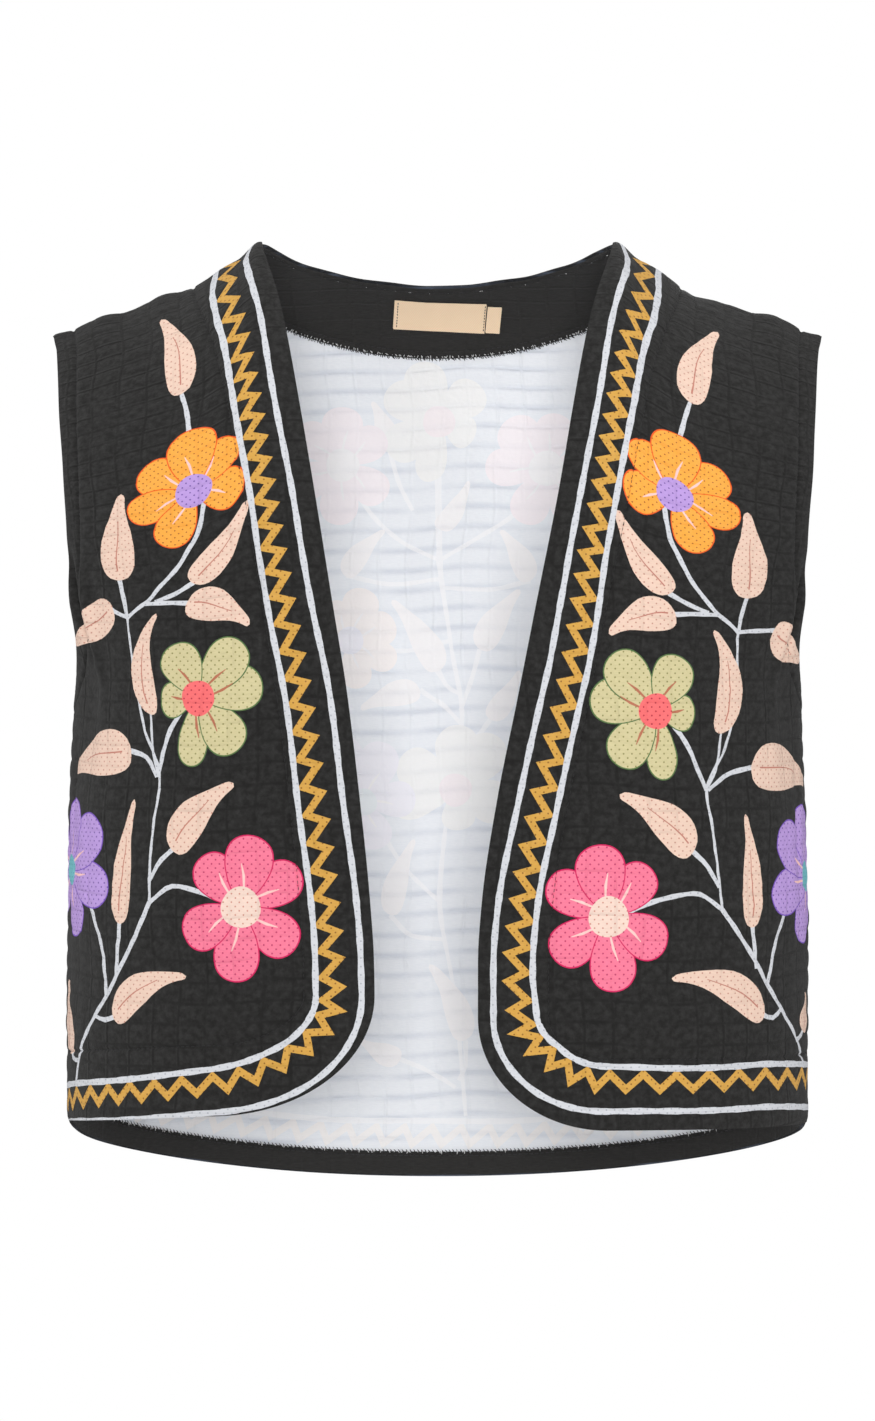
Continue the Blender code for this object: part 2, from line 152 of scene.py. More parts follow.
class Form:
    """The front or the back of the worn form: side is -1 in front and 1 at the back."""

    def __init__(self, sections, side):
        self.sections = sections
        self.side = side
        steps = np.hypot(np.diff(sections["height"]), np.diff(sections["depth"]))
        self.down = np.concatenate([[0.0], np.cumsum(steps)])

    def column(self, name, down):
        return smooth(down, self.down, self.sections[name])

    def height_at(self, x, down):
        """A row keeps all of the shoulder's slope at the seam and none of it at the underarm."""
        row = self.column("height", down)
        t = np.clip(1 - row / UNDERARM_HEIGHT, 0, 1)
        slope = smooth(np.abs(x), SHOULDER_LINE["across"], SHOULDER_LINE["height"])
        return row + t * t * (3 - 2 * t) * slope

    def arc(self, down):
        """Angles along each row's section, and the cloth's length from the centre to each."""
        angle = np.linspace(np.pi / 2, 0, 61)
        half = self.column("half_width", down)[:, None]
        depth = self.column("depth", down)[:, None]
        x = half * np.cos(angle).clip(0) ** (2 / ROUNDNESS)
        y = depth * np.sin(angle) ** (2 / ROUNDNESS)
        steps = np.hypot(np.diff(x, axis=1), np.diff(y, axis=1))
        length = np.concatenate([np.zeros((len(down), 1)), np.cumsum(steps, axis=1)], axis=1)
        return angle, length

    def seam_at(self, down):
        """Length across the cloth, from the centre to the side."""
        return self.arc(np.atleast_1d(down))[1][:, -1]

    def base(self, across, down):
        angle, length = self.arc(down)
        reach = np.abs(across)
        k = np.clip((length < reach[:, None]).sum(axis=1) - 1, 0, len(angle) - 2)
        rows = np.arange(len(down))
        first = length[rows, k]
        t = (reach - first) / (length[rows, k + 1] - first)
        turned = angle[k] + t.clip(0, 1) * (angle[k + 1] - angle[k])
        x = self.column("half_width", down) * np.cos(turned).clip(0) ** (2 / ROUNDNESS)
        y = self.column("depth", down) * np.sin(turned).clip(0) ** (2 / ROUNDNESS)
        return np.stack([np.sign(across) * x, self.side * y, self.height_at(x, down)], axis=-1)

    def normal(self, across, down):
        step = 0.001
        inner = np.clip(np.abs(across), step, None) * np.where(across < 0, -1, 1)
        side_step = self.base(inner + step, down) - self.base(inner - step, down)
        down_step = self.base(across, down + step) - self.base(across, np.maximum(down - step, 0))
        return unit(np.cross(down_step, side_step) * -self.side)

    def fold(self, across, down):
        """Depth of the soft troughs at a place on the cloth."""
        from_seam = self.seam_at(down) - np.abs(across)
        height = self.column("height", down)
        total = np.zeros_like(height)
        for side, body_side, first, last, top, end, half_width, depth in FOLDS:
            here = (side == self.side) & ((body_side == 0) | (body_side == np.sign(across)))
            share = (top - height) / (top - end)
            middle = first * (1 - share) + last * share
            window = here * np.sin(np.pi * share.clip(0, 1)) ** 2
            total += depth * window * np.exp(-(((from_seam - middle) / half_width) ** 2))
        return total

    def down_at(self, x, height):
        """The length down the cloth at which the form passes a height, found by halving."""
        low = np.zeros_like(height)
        high = np.full_like(height, self.down[-1])
        for _ in range(HALVINGS):
            middle = (low + high) / 2
            below = self.height_at(x, middle) < height
            high = np.where(below, middle, high)
            low = np.where(below, low, middle)
        return (low + high) / 2

    def cloth(self, x, height):
        """Places on the cloth, as rows of across and down, from x and height."""
        x, height = np.broadcast_arrays(np.asarray(x, float), np.asarray(height, float))
        down = self.down_at(x, height)
        half = self.column("half_width", down)
        angle, length = self.arc(down)
        turned = np.arccos((x / half).clip(0, 1) ** (ROUNDNESS / 2))
        across = [np.interp(-turn, -angle, row) for turn, row in zip(turned, length)]
        return np.stack([across, down], axis=-1)


front = Form(FRONT_SECTIONS, -1)
back = Form(BACK_SECTIONS, 1)

# Cutting out
# The two fronts and the back are cut from one width of double gauze. The fronts' corners are
# rounded, the left one a little tighter, and the back's hem drops at its middle.

NECK_HALF_WIDTH = 0.097
BACK_NECK_HEIGHT = -0.0186
CENTRE_BACK_DROP = 0.0395
FRONT_FACING_WIDTH = 0.039
NECK_FACING_WIDTH = 0.051
BACK_HEM_WIDTH = 0.014
ARMHOLE_HEM_WIDTH = 0.011
FRONT_STITCH = 0.0376
NECK_STITCHES = (0.0028, 0.0458)
BACK_HEM_STITCH = 0.0118

ARMHOLE = table(
    "height across",
    (-0.0515, 0.2110),
    (-0.0600, 0.2085),
    (-0.1000, 0.2050),
    (-0.1500, 0.2015),
    (-0.2000, 0.1988),
)
FRONT_EDGE = table(
    "height wearer_right wearer_left",
    (0.000, 0.0970, 0.0970),
    (-0.035, 0.0850, 0.0845),
    (-0.058, 0.0800, 0.0790),
    (-0.091, 0.0738, 0.0728),
    (-0.145, 0.0644, 0.0633),
    (-0.198, 0.0558, 0.0526),
    (-0.251, 0.0473, 0.0421),
    (-0.304, 0.0410, 0.0315),
    (-0.357, 0.0357, 0.0235),
    (-0.390, 0.0336, 0.0214),
    (-0.430, 0.0330, 0.0214),
)
FRONT_CORNER = {
    "wearer_right": {"width": 0.090, "height": 0.065, "hem": -0.4725},
    "wearer_left": {"width": 0.070, "height": 0.060, "hem": -0.4795},
}
MIRROR = {"wearer_right": -1.0, "wearer_left": 1.0}
OTHER_HALF = np.array([-1.0, 1.0])
CUT_SPACING = 0.0006
# Which way is into the cloth at the first and the last point of each kind of edge
INTO_FRONT = (0.0, -np.pi / 2)
INTO_NECK = (0.0, np.pi)
INTO_HEM = (-np.pi / 2, -np.pi / 2)
INTO_ARMHOLE = (np.pi / 2, np.pi)


def lengths(points):
    """How far along a polyline each of its points is."""
    steps = np.linalg.norm(np.diff(points, axis=0), axis=1)
    return np.concatenate([[0.0], np.cumsum(steps)])


def along(points, length, at):
    """Points of a polyline at the given lengths, from the length at which each of its own lies."""
    return np.stack([np.interp(at, length, points[:, k]) for k in range(2)], axis=-1)


def even(points, spacing):
    """Points along a polyline, evenly spaced close to one spacing apart."""
    length = lengths(points)
    return along(points, length, np.linspace(0, length[-1], max(int(round(length[-1] / spacing)), 1) + 1))


def toward(angle):
    """A flat vector at an angle, or a row of them."""
    return np.stack([np.cos(angle), np.sin(angle)], axis=-1)


def inset(points, width, into):
    """A curve some way inside an edge, which ends along the two seams that the edge runs into."""
    tangent = np.gradient(points, axis=0)
    angle = np.unwrap(np.arctan2(-tangent[:, 0], tangent[:, 1]))
    share = np.linspace(0, 1, len(points))
    angle = angle + (into[0] - angle[0]) * (1 - share) ** 8 + (into[1] - angle[-1]) * share ** 8
    return points + np.reshape(width, (-1, 1)) * toward(angle)


def armhole_and_side(form):
    """The armhole down to the underarm, and the side seam from there to the hem."""
    height = np.linspace(ARMHOLE["height"][0], ARMHOLE["height"][-1], 40)
    upper = form.cloth(smooth(height, ARMHOLE["height"], ARMHOLE["across"]), height)
    upper[0, 1] = 0.0
    underarm = form.down_at(np.zeros(1), np.array([UNDERARM_HEIGHT]))[0]
    seam = form.seam_at(underarm)[0]
    turn = np.linspace(0, np.pi / 2, 30)[1:]
    reach, fall = seam - upper[-1, 0], underarm - upper[-1, 1]
    lower = upper[-1] + np.stack([reach * (1 - np.cos(turn)), fall * np.sin(turn)], axis=-1)
    hem = form.down_at(np.zeros(1), np.array([SIDE_HEM_HEIGHT]))[0]
    down = np.linspace(underarm, hem, 60)
    return np.concatenate([upper, lower]), np.stack([form.seam_at(down), down], axis=-1)


def front_cut(name):
    """The free edge of a front from neck to side hem, its armhole and its side seam."""
    corner = FRONT_CORNER[name]
    top = corner["hem"] + corner["height"]
    height = np.linspace(0, top, 60)
    edge = front.cloth(smooth(height, FRONT_EDGE["height"], FRONT_EDGE[name]), height)
    edge[0, 1] = 0.0
    turn = np.linspace(0, np.pi / 2, 40)[1:]
    x = smooth(top, FRONT_EDGE["height"], FRONT_EDGE[name]) + corner["width"] * (1 - np.cos(turn))
    arc = front.cloth(x, top - corner["height"] * np.sin(turn))
    armhole, side = armhole_and_side(front)
    return even(np.concatenate([edge, arc, side[-1:]]), CUT_SPACING), armhole, side


def back_cut():
    """Half of the back's neckline, hem, armhole and side seam, from the centre outward."""
    centre_neck = back.cloth([0.0], [BACK_NECK_HEIGHT])[0, 1]
    neck_end = back.cloth([NECK_HALF_WIDTH], [0.0])[0, 0]
    turn = np.linspace(0, np.pi / 2, 60)
    half_neck = np.stack([neck_end * np.sin(turn), centre_neck * np.cos(turn)], axis=-1)
    half_armhole, half_side = armhole_and_side(back)
    across = np.linspace(0, half_side[-1, 0], 80)
    drop = CENTRE_BACK_DROP * (1 - (across / across[-1]) ** 2.2)
    half_hem = back.cloth(np.zeros_like(across), SIDE_HEM_HEIGHT - drop)
    half_hem[:, 0] = across
    return even(half_neck, CUT_SPACING), even(half_hem, CUT_SPACING), half_armhole, half_side


def both_halves(half):
    """A line from the centre outward, with its mirror image before it."""
    return np.concatenate([half[:0:-1] * OTHER_HALF, half])


# Double gauze
# Two light plain weaves are caught together along a grid, so the cells between puff out a
# little. The outer layer is printed, the inner one white; edges are turned in and topstitched.

CELL_ACROSS = 0.0158
CELL_DOWN = 0.0115
PUFF = 0.00078
PUFF_MARGIN = 0.006
EDGE_ROLL = 0.0006
EDGE_ROLL_WIDTH = 0.0011
STITCH_DEPTH = 0.0012
STITCH_WIDTH = 0.0010
SEAM_HALF_GAP = 0.00001
SHARP_ANGLE = 0.9
RIM_SPACING = 0.0004
ISLAND_MARGIN = 0.004


def puff(across, down):
    """Height of the puffed cells, a little uneven from cell to cell."""
    column = across / CELL_ACROSS + 0.12 * np.sin(down * 31.0) + 0.05 * np.sin(down * 113.0 + 1.3)
    row = down / CELL_DOWN + 0.16 * np.sin(across * 27.0 + 0.6) + 0.06 * np.sin(across * 90.0)
    cell = np.abs(np.sin(np.pi * column) * np.sin(np.pi * row)) ** 0.5
    return PUFF * cell * (1 + 0.3 * np.sin(2.1 * np.floor(column) + 3.7 * np.floor(row)))


def crumple(form, across, down):
    """Slow swells of cloth that has been washed and hung, stronger along the shoulders."""
    first = np.sin(across * 71.0 + 2.0 * np.sin(down * 23.0)) * np.sin(down * 52.0 + 1.1)
    swell = 0.00040 * first + 0.00035 * np.sin(across * 33.0 - down * 47.0 + 0.7)
    free = np.clip((form.seam_at(down) - np.abs(across)) / 0.020, 0, 1)
    shoulder = np.sin(across * 205.0 + 0.8 + np.sin(down * 60.0))
    shoulder = shoulder + 0.6 * np.sin(across * 118.0 - down * 40.0)
    return swell * np.where(down < 0.2, 1.0, free) + 0.0010 * shoulder * np.exp(-((down / 0.045) ** 2))


def distance(places, line):
    """How far each place lies from a line."""
    tree = KDTree(len(line))
    for number, point in enumerate(line):
        tree.insert((*point, 0.0), number)
    tree.balance()
    return np.array([tree.find((*place, 0.0))[2] for place in places])


def lie(form, mirror, places, bands, inward=0.0):
    """Points and outward normals of a layer, and how much the cloth puffs there.

    A band is a line of the cut and how far from it the hem or facing behind it is stitched down.
    """
    across, down = places[:, 0] * mirror, places[:, 1]
    freedom, trough = np.ones(len(places)), np.zeros(len(places))
    for line, width in bands:
        gap = distance(places, line)
        freedom = np.minimum(freedom, 0.55 + 0.45 * np.clip((gap - width) / 0.004, 0, 1))
        trough += STITCH_DEPTH * np.exp(-(((gap - width) / STITCH_WIDTH) ** 2))
    normal = form.normal(across, down)
    depth = form.fold(across, down) - crumple(form, across, down) + trough + inward
    return form.base(across, down) - normal * depth[:, None], normal, freedom * puff(*places.T)


def add(name, data):
    """A new object of the scene."""
    made = bpy.data.objects.new(name, data)
    bpy.context.scene.collection.objects.link(made)
    return made


def signed_area(loop):
    """The flat area inside a loop, below zero where it turns right."""
    step = np.roll(loop, -1, axis=0)
    return (loop[:, 0] * step[:, 1] - loop[:, 1] * step[:, 0]).sum() / 2


def cut_shapes(outline, shapes, spacing, turned):
    """Triangles of a panel, cut along its outline and along every printed shape.

    Returns the places, the triangles, the number of the last shape that covers each one, and
    whether one of the first few shapes, the turned edges, covers it.
    """
    low, high = outline.min(axis=0), outline.max(axis=0)
    across, down = np.meshgrid(np.arange(low[0], high[0], spacing), np.arange(low[1], high[1], spacing))
    across[::2] += spacing / 2
    filling = np.stack([across.ravel(), down.ravel()], axis=-1)
    loops = [outline] + shapes
    rims = np.concatenate(loops)
    near = spacing * 0.5
    taken = set(map(tuple, np.round(rims / near).astype(int).tolist()))
    free = [tuple(key) not in taken for key in np.round(filling / near).astype(int).tolist()]
    points = np.concatenate([rims, filling[free]]) * 1000
    faces, start = [], 0
    for loop in loops:
        numbers = list(range(start, start + len(loop)))
        start += len(loop)
        faces.append(numbers if signed_area(loop) > 0 else numbers[::-1])
    cut = delaunay_2d_cdt([Vector(point) for point in points], [], faces, 1, 0.002, True)
    places = np.array([place[:] for place in cut[0]]) / 1000
    kept = [(face, max(cover), any(0 < shape <= turned for shape in cover))
            for face, cover in zip(cut[2], cut[5]) if 0 in cover and len(face) == 3]
    return places, *(np.array(column) for column in zip(*kept))


def dye(mesh, names, cover, turned_in, rim_count):
    """Gives every face its ink and its dots' ink, with the alpha at 1 where the ground is black."""
    inks = [INKS[names[number]] for number in cover]
    inks += [INKS["black"] if dark else show_through(names[number])
             for number, dark in zip(cover, turned_in)]
    inks += [INKS["black"]] * rim_count
    sizes = [3] * (2 * len(cover)) + [4] * rim_count
    grounds = [names[number] == "black" for number in cover] * 2 + [True] * rim_count
    ground = np.repeat(np.array(grounds, dtype=float), sizes)[:, None]
    for number, attribute in enumerate(("ink", "dot_ink")):
        colours = np.repeat(np.array([ink[number] for ink in inks]), sizes, axis=0)
        layer = mesh.color_attributes.new(attribute, "FLOAT_COLOR", "CORNER")
        layer.data.foreach_set("color", np.hstack([colours, ground]).ravel())


def lay_flat(mesh, places, rims, way_out, wall, inner_scale):
    """Gives the mesh two flat maps: its place on the cloth, and its faces side by side for baking."""
    count, first_rim = len(places), len(mesh.loops) - 4 * len(rims)
    corners = np.zeros(len(mesh.loops), dtype=np.int32)
    mesh.loops.foreach_get("vertex_index", corners)
    inner = (corners >= count) * 1.0
    flat = places[corners % count]
    ends = np.array(rims)
    run = places[ends[:, 1]] - places[ends[:, 0]]
    out = np.stack([run[:, 1], -run[:, 0]], axis=-1) * way_out
    out *= wall / np.linalg.norm(out, axis=1, keepdims=True)
    flat[first_rim:] += np.repeat(out, 4, axis=0) * inner[first_rim:, None]
    mesh.uv_layers.new(name="cloth_place").data.foreach_set("uv", flat.ravel())
    inner[first_rim:] = 0
    low = places.min(axis=0) - ISLAND_MARGIN
    wide, tall = places.max(axis=0) + ISLAND_MARGIN - low
    start = np.stack([inner * wide, np.zeros(len(flat))], axis=-1)
    scale = np.where(inner > 0, inner_scale, 1.0)[:, None]
    size = max(wide * (1 + inner_scale), tall)
    placed = ((flat - low) * scale + start) / size
    mesh.uv_layers.new(name="OFBake").data.foreach_set("uv", placed.ravel())


def sew_up(name, form, mirror, outline, bands, looks, spacing, wall, inward=0.0, prints=(), turned=(),
           inner_scale=1.0):
    """One closed piece of cloth, printed on its outer face, from its cut outline.

    prints are pairs of an ink's name and a shape, in the order that they are printed in. turned
    are the parts whose inner face is the printed side too, as where a hem is turned in.
    """
    outline = even(np.concatenate([outline, outline[:1]]), spacing * 0.8)[:-1]
    shapes = list(turned) + [shape for _, shape in prints]
    places, triangles, cover, turned_in = cut_shapes(outline, shapes, spacing, len(turned))
    used, renumbered = np.unique(triangles, return_inverse=True)
    places, triangles = places[used], renumbered.reshape(-1, 3)
    rim = distance(places, even(np.concatenate([outline, outline[:1]]), RIM_SPACING))
    outer, normal, puffed = lie(form, mirror, places, bands, inward)
    puffed = puffed * np.clip(rim / PUFF_MARGIN, 0, 1) * (0 if inward else 1)
    roll = EDGE_ROLL * np.exp(-((rim / EDGE_ROLL_WIDTH) ** 2)) * wall / WALL
    inner = outer - normal * (wall - 0.4 * roll + 0.6 * puffed)[:, None]
    outer = outer - normal * (roll - puffed)[:, None]
    for layer in (outer, inner):
        layer[:, 1] = form.side * np.maximum(layer[:, 1] * form.side, SEAM_HALF_GAP)
    keeps_way = (form.side > 0) == (mirror > 0)
    if keeps_way:
        triangles = triangles[:, ::-1]
    count = len(places)
    edges = np.concatenate([triangles[:, [0, 1]], triangles[:, [1, 2]], triangles[:, [2, 0]]]).tolist()
    forward = set(map(tuple, edges))
    rims = [(a, b) for a, b in edges if (b, a) not in forward]
    strip = [(b, a, a + count, b + count) for a, b in rims]
    faces = triangles.tolist() + (triangles[:, ::-1] + count).tolist() + strip
    mesh = bpy.data.meshes.new(name)
    mesh.from_pydata(np.concatenate([outer, inner]).tolist(), [], faces)
    mesh.shade_smooth()
    mesh.set_sharp_from_angle(angle=SHARP_ANGLE)
    sides = [0] * len(triangles) + [1] * len(triangles) + [0] * len(strip)
    mesh.polygons.foreach_set("material_index", sides)
    for look in looks:
        mesh.materials.append(look)
    names = ["black"] * (1 + len(turned)) + [ink for ink, _ in prints]
    dye(mesh, names, cover, turned_in, len(strip))
    lay_flat(mesh, places, rims, -1 if keeps_way else 1, wall, inner_scale)
    piece = add(name, mesh)
    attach(piece, "root")
    return piece


# Inks
# The ground is black. Every other ink carries small dots of its own darker shade, and shows
# a little through the white inner layer, where the black ground gives a faint blue-grey.


def srgb(red, green, blue):
    return tuple(((value / 255 + 0.055) / 1.055) ** 2.4 for value in (red, green, blue))


# Each ink's fill, and the shade of its dots where it has any
INKS = {name: (srgb(*fill), srgb(*(dotted[0] if dotted else fill))) for name, fill, *dotted in (
    ("black", (22, 21, 20)),
    ("line white", (204, 206, 211), (170, 173, 181)),
    ("gold", (205, 156, 70), (141, 95, 35)),
    ("leaf", (228, 198, 180), (193, 141, 125)),
    ("rib", (189, 124, 108)),
    ("orange", (243, 165, 64), (164, 95, 35)),
    ("orange edge", (232, 89, 21)),
    ("pale streak", (246, 198, 193)),
    ("violet", (181, 149, 214), (100, 71, 151)),
    ("violet edge", (118, 81, 183)),
    ("green", (203, 193, 148), (139, 135, 81)),
    ("green edge", (83, 112, 64)),
    ("brown streak", (178, 108, 81)),
    ("coral", (238, 107, 109), (176, 42, 60)),
    ("pink", (237, 119, 147), (185, 46, 95)),
    ("pink edge", (208, 21, 89)),
    ("peach", (234, 207, 193), (201, 139, 122)),
    ("teal", (108, 185, 195), (50, 125, 145)),
)}
SEEN_AS = {"rib": "leaf", "pale streak": "peach", "brown streak": "green"}
SHOWN_SHARE = 0.09
WHITE_LAYER = np.array(srgb(249, 249, 251))


def show_through(ink):
    """An ink as seen on the white inner layer, where fine edges and wisps are lost."""
    if ink == "black":
        return (srgb(240, 242, 246),) * 2
    body = SEEN_AS.get(ink, ink.replace(" edge", ""))
    return (tuple(WHITE_LAYER * (1 - SHOWN_SHARE) + np.array(INKS[body][0]) * SHOWN_SHARE),) * 2


# Printed shapes
# Everything is drawn in broad brush strokes: eggs for petals, drops for leaves, ribbons for
# stems and border lines.


def sway(points, spacing=0.004):
    """A smooth line through a few points given in millimetres."""
    points = np.array(points, dtype=float) / 1000
    length = lengths(points)
    at = np.linspace(0, length[-1], max(int(length[-1] / spacing), 3) + 1)
    return np.stack([smooth(at, length, points[:, k]) for k in range(2)], axis=-1)


def ribbon(path, width):
    """A brush stroke along a path, of one width or a width for each point, with mitred bends."""
    run = unit(np.diff(path, axis=0))
    before, after = np.vstack([run[:1], run]), np.vstack([run, run[-1:]])
    middle = unit(before + after)
    across = np.stack([-middle[:, 1], middle[:, 0]], axis=-1)
    across /= np.maximum((middle * before).sum(axis=1, keepdims=True), 0.35)
    half = across * np.reshape(width, (-1, 1)) / 2
    return np.concatenate([path + half, (path - half)[::-1]])


def egg(root, angle, length, width, grow=0.0):
    """A petal from its root outward, broader toward its end."""
    turn = np.linspace(0, 2 * np.pi, 44, endpoint=False)
    reach = length * (1 - np.cos(turn)) / 2
    half = width / 2 * np.sin(turn) * (0.75 - 0.25 * np.cos(turn)) / 0.8
    reach = (reach - length / 2) * (1 + 2 * grow / length) + length / 2
    half = half * (1 + 2 * grow / width)
    way, side = toward(angle), np.array([-np.sin(angle), np.cos(angle)])
    return root + reach[:, None] * way + half[:, None] * side


def disc(centre, radius, count=30):
    turn = np.linspace(0, 2 * np.pi, count, endpoint=False)
    wobble = 1 + 0.025 * np.sin(3 * turn + centre[0] * 900)
    return centre + (radius * wobble)[:, None] * toward(turn)


# Petals as their angle in degrees, length and width, and the heart's radius, in millimetres
FLOWERS = {
    "orange": {
        "petals": ((164, 29, 25), (-133, 33, 22), (-36, 37, 27), (12, 39, 23), (64, 37, 24), (-88, 41, 29)),
        "centre": 10.5, "heart": "violet", "streak": "pale streak",
    },
    "green": {
        "petals": ((4, 23, 20), (82, 37, 18), (129, 36, 25), (-167, 37, 25), (-129, 39, 25), (-62, 33, 25)),
        "centre": 9.5, "heart": "coral", "streak": "brown streak",
    },
    "pink": {
        "petals": ((-148, 38, 24), (144, 37, 25), (85, 40, 26), (28, 36, 25), (-49, 35, 24),
                   (-100, 39, 28)),
        "centre": 11.0, "heart": "peach", "streak": "pale streak",
    },
    "violet": {
        "petals": ((40, 31, 22), (-35, 33, 23), (112, 38, 25), (166, 46, 26), (-146, 46, 28),
                   (-100, 40, 26)),
        "centre": 8.5, "heart": "teal", "streak": "pale streak",
    },
}
PETAL_EDGE = 0.0007
PETAL_ROOT = 0.003


def flower(kind, centre, turned=0.0, size=1.0):
    """Petals with a thin darker edge and a wisp of light each, around a round heart."""
    parts = FLOWERS[kind]
    middle = np.array(centre, dtype=float) / 1000
    heart = parts["centre"] * size / 1000
    shapes, wisps = [], []
    for number, (degrees, reach, width) in enumerate(parts["petals"]):
        angle = np.radians(degrees + turned)
        way = toward(angle)
        root = middle + way * PETAL_ROOT
        reach, width = reach * size / 1000 - PETAL_ROOT, width * size / 1000
        shapes.append((kind + " edge", egg(root, angle, reach, width)))
        shapes.append((kind, egg(root, angle, reach, width, -PETAL_EDGE)))
        tip = toward(angle + np.radians(9 if number % 2 else -7))
        start = heart * 0.95
        end = start + 0.36 * reach
        wisp = [middle + way * start, middle + (way + tip) * 0.25 * (start + end), middle + tip * end]
        wisps.append((parts["streak"], ribbon(np.array(wisp), np.array([0.0010, 0.0015, 0.0004]))))
    return shapes + wisps + [(parts["heart"], disc(middle, heart))]


LEAF = table(
    "share half",
    (0.000, 0.00),
    (0.012, 0.36),
    (0.050, 0.66),
    (0.140, 0.92),
    (0.260, 1.00),
    (0.400, 0.96),
    (0.560, 0.75),
    (0.720, 0.49),
    (0.870, 0.31),
    (0.965, 0.22),
    (1.000, 0.00),
)


def leaf(tip, root, width, bend=0.0):
    """A drop, broad near its root and drawn out to its tip, with a thin rib."""
    tip, root = np.array(tip, dtype=float) / 1000, np.array(root, dtype=float) / 1000
    length = np.linalg.norm(tip - root)
    way = (tip - root) / length
    side = np.array([-way[1], way[0]])
    share = (1 - np.cos(np.linspace(0, np.pi, 20))) / 2

    def spine(at):
        bow = bend * length * 4 * at * (1 - at)
        return root + np.outer(at * length, way) + np.outer(bow, side)

    half = np.outer(smooth(share, LEAF["share"], LEAF["half"]) * width / 2000, side)
    body = np.concatenate([spine(share) + half, (spine(share) - half)[-2:0:-1]])
    rib = np.linspace(0.10, 0.68, 7)
    wave = np.outer(0.0006 * np.sin(rib * 9), side)
    return [("leaf", body), ("rib", ribbon(spine(rib) + wave, np.linspace(0.0009, 0.0004, 7)))]


def stem(points, first=2.3, last=2.8):
    """A pale stem, a little uneven."""
    path = sway(points)
    share = np.linspace(0, 1, len(path))
    width = (first + (last - first) * share + 0.25 * np.sin(share * len(path) * 1.7 + points[0][0])) / 1000
    return [("line white", ribbon(path, width))]


LINE_WIDTH = 0.0033
ZIGZAG_WIDTH = 0.0040
ZIGZAG_GAP = 0.0034
ZIGZAG_BEFORE, ZIGZAG_BEYOND = 0.004, 0.012
# How the zigzag leans and how tall it is, by share of the edge's length
LEAN = ((0, 0.06, 0.11, 0.18, 0.55, 0.8, 1), (0.38, 0.44, 0.58, 0.76, 0.72, 0.50, 0.47))
TALL = ((0, 0.12, 0.3, 0.6, 0.72, 1), (0.0068, 0.0078, 0.0090, 0.0096, 0.0084, 0.0080))


def border(line, outer, inner, steps, shares, into):
    """The printed border along a cut edge: two pale lines with a gold zigzag between them.

    outer and inner are the lines' distances from the edge and steps the zigzag's, each at the
    shares of the edge's length given.
    """
    length = lengths(line)[-1]
    share = np.linspace(0, 1, len(line))
    outer_gap, inner_gap = np.interp(share, shares, outer), np.interp(share, shares, inner)
    ground = np.concatenate([inset(line, inner_gap, into), inset(line, -0.002, into)[::-1]])
    shapes = [("black", ground[::4])]
    tips, at = [], -ZIGZAG_BEFORE
    while at < length + ZIGZAG_BEYOND:
        period = np.interp(at / length, shares, steps)
        tips += [(at, 0.0), (at + np.interp(at / length, *LEAN) * period, 1.0)]
        at += period
    tips = np.array(tips)
    reach = np.clip(tips[:, 0] / length, 0, 1)
    gap = np.interp(reach, share, inner_gap) - ZIGZAG_GAP - np.interp(reach, *TALL) * (1 - tips[:, 1])
    inward = along(inset(line, 1.0, into) - line, share, reach)
    beyond = np.clip(tips[:, 0] / length - 1, 0, None) + np.clip(tips[:, 0] / length, None, 0)
    ends = unit(np.where(beyond[:, None] < 0, line[1] - line[0], line[-1] - line[-2]))
    zigzag = along(line, share, reach) + inward * gap[:, None] + ends * (beyond * length)[:, None]
    shapes.append(("gold", ribbon(zigzag, ZIGZAG_WIDTH)))
    wobble = 1 + 0.10 * np.sin(share * length * 310) + 0.05 * np.sin(share * length * 830)
    drift = 0.0004 * np.sin(share * length * 57)
    for gap in (outer_gap, inner_gap):
        path = inset(line, gap + drift, into)[::6]
        shapes.append(("line white", ribbon(path, LINE_WIDTH * wobble[::6])))
    return shapes


# Finishes of the gauze
# Matt cotton. The outer layer shows its ink, the inner one is white with the print's shadow,
# and the facings are of the plain black gauze.


def node(tree, kind, inputs, **settings):
    """One node with its settings, each input a value or another node's output."""
    made = tree.nodes.new("ShaderNode" + kind)
    for key, value in settings.items():
        setattr(made, key, value)
    for key, value in inputs.items():
        if isinstance(value, bpy.types.NodeSocket):
            tree.links.new(value, made.inputs[key])
        else:
            made.inputs[key].default_value = value
    return made.outputs


def sums(tree, operation, first, second=0.0):
    return node(tree, "Math", {0: first, 1: second}, operation=operation)[0]


def times(tree, first, *others):
    """The product of two or more values."""
    for other in others:
        first = sums(tree, "MULTIPLY", first, other)
    return first


def vector(tree, operation, first, *second):
    return node(tree, "VectorMath", dict(enumerate((first, *second))), operation=operation)


def scaled(tree, colour, amount):
    return node(tree, "VectorMath", {0: colour, "Scale": amount}, operation="SCALE")[0]


def noise(tree, place, scale, detail, **inputs):
    return node(tree, "TexNoise", {"Vector": place, "Scale": scale, "Detail": detail, **inputs})[0]


def remap(tree, value, start, end, low=0.0, high=1.0, **settings):
    """A value that goes from low to high between a start and an end."""
    return node(tree, "MapRange", {"Value": value, "From Min": start, "From Max": end, "To Min": low,
                                   "To Max": high}, **settings)[0]


def mixed(tree, share, first, second):
    return node(tree, "Mix", {0: share, 6: first, 7: second}, data_type="RGBA")[2]


def wave(tree, value, rate, start, size):
    turn = node(tree, "Math", {0: value, 1: rate, 2: start}, operation="MULTIPLY_ADD")[0]
    return sums(tree, "MULTIPLY", sums(tree, "SINE", turn), size)


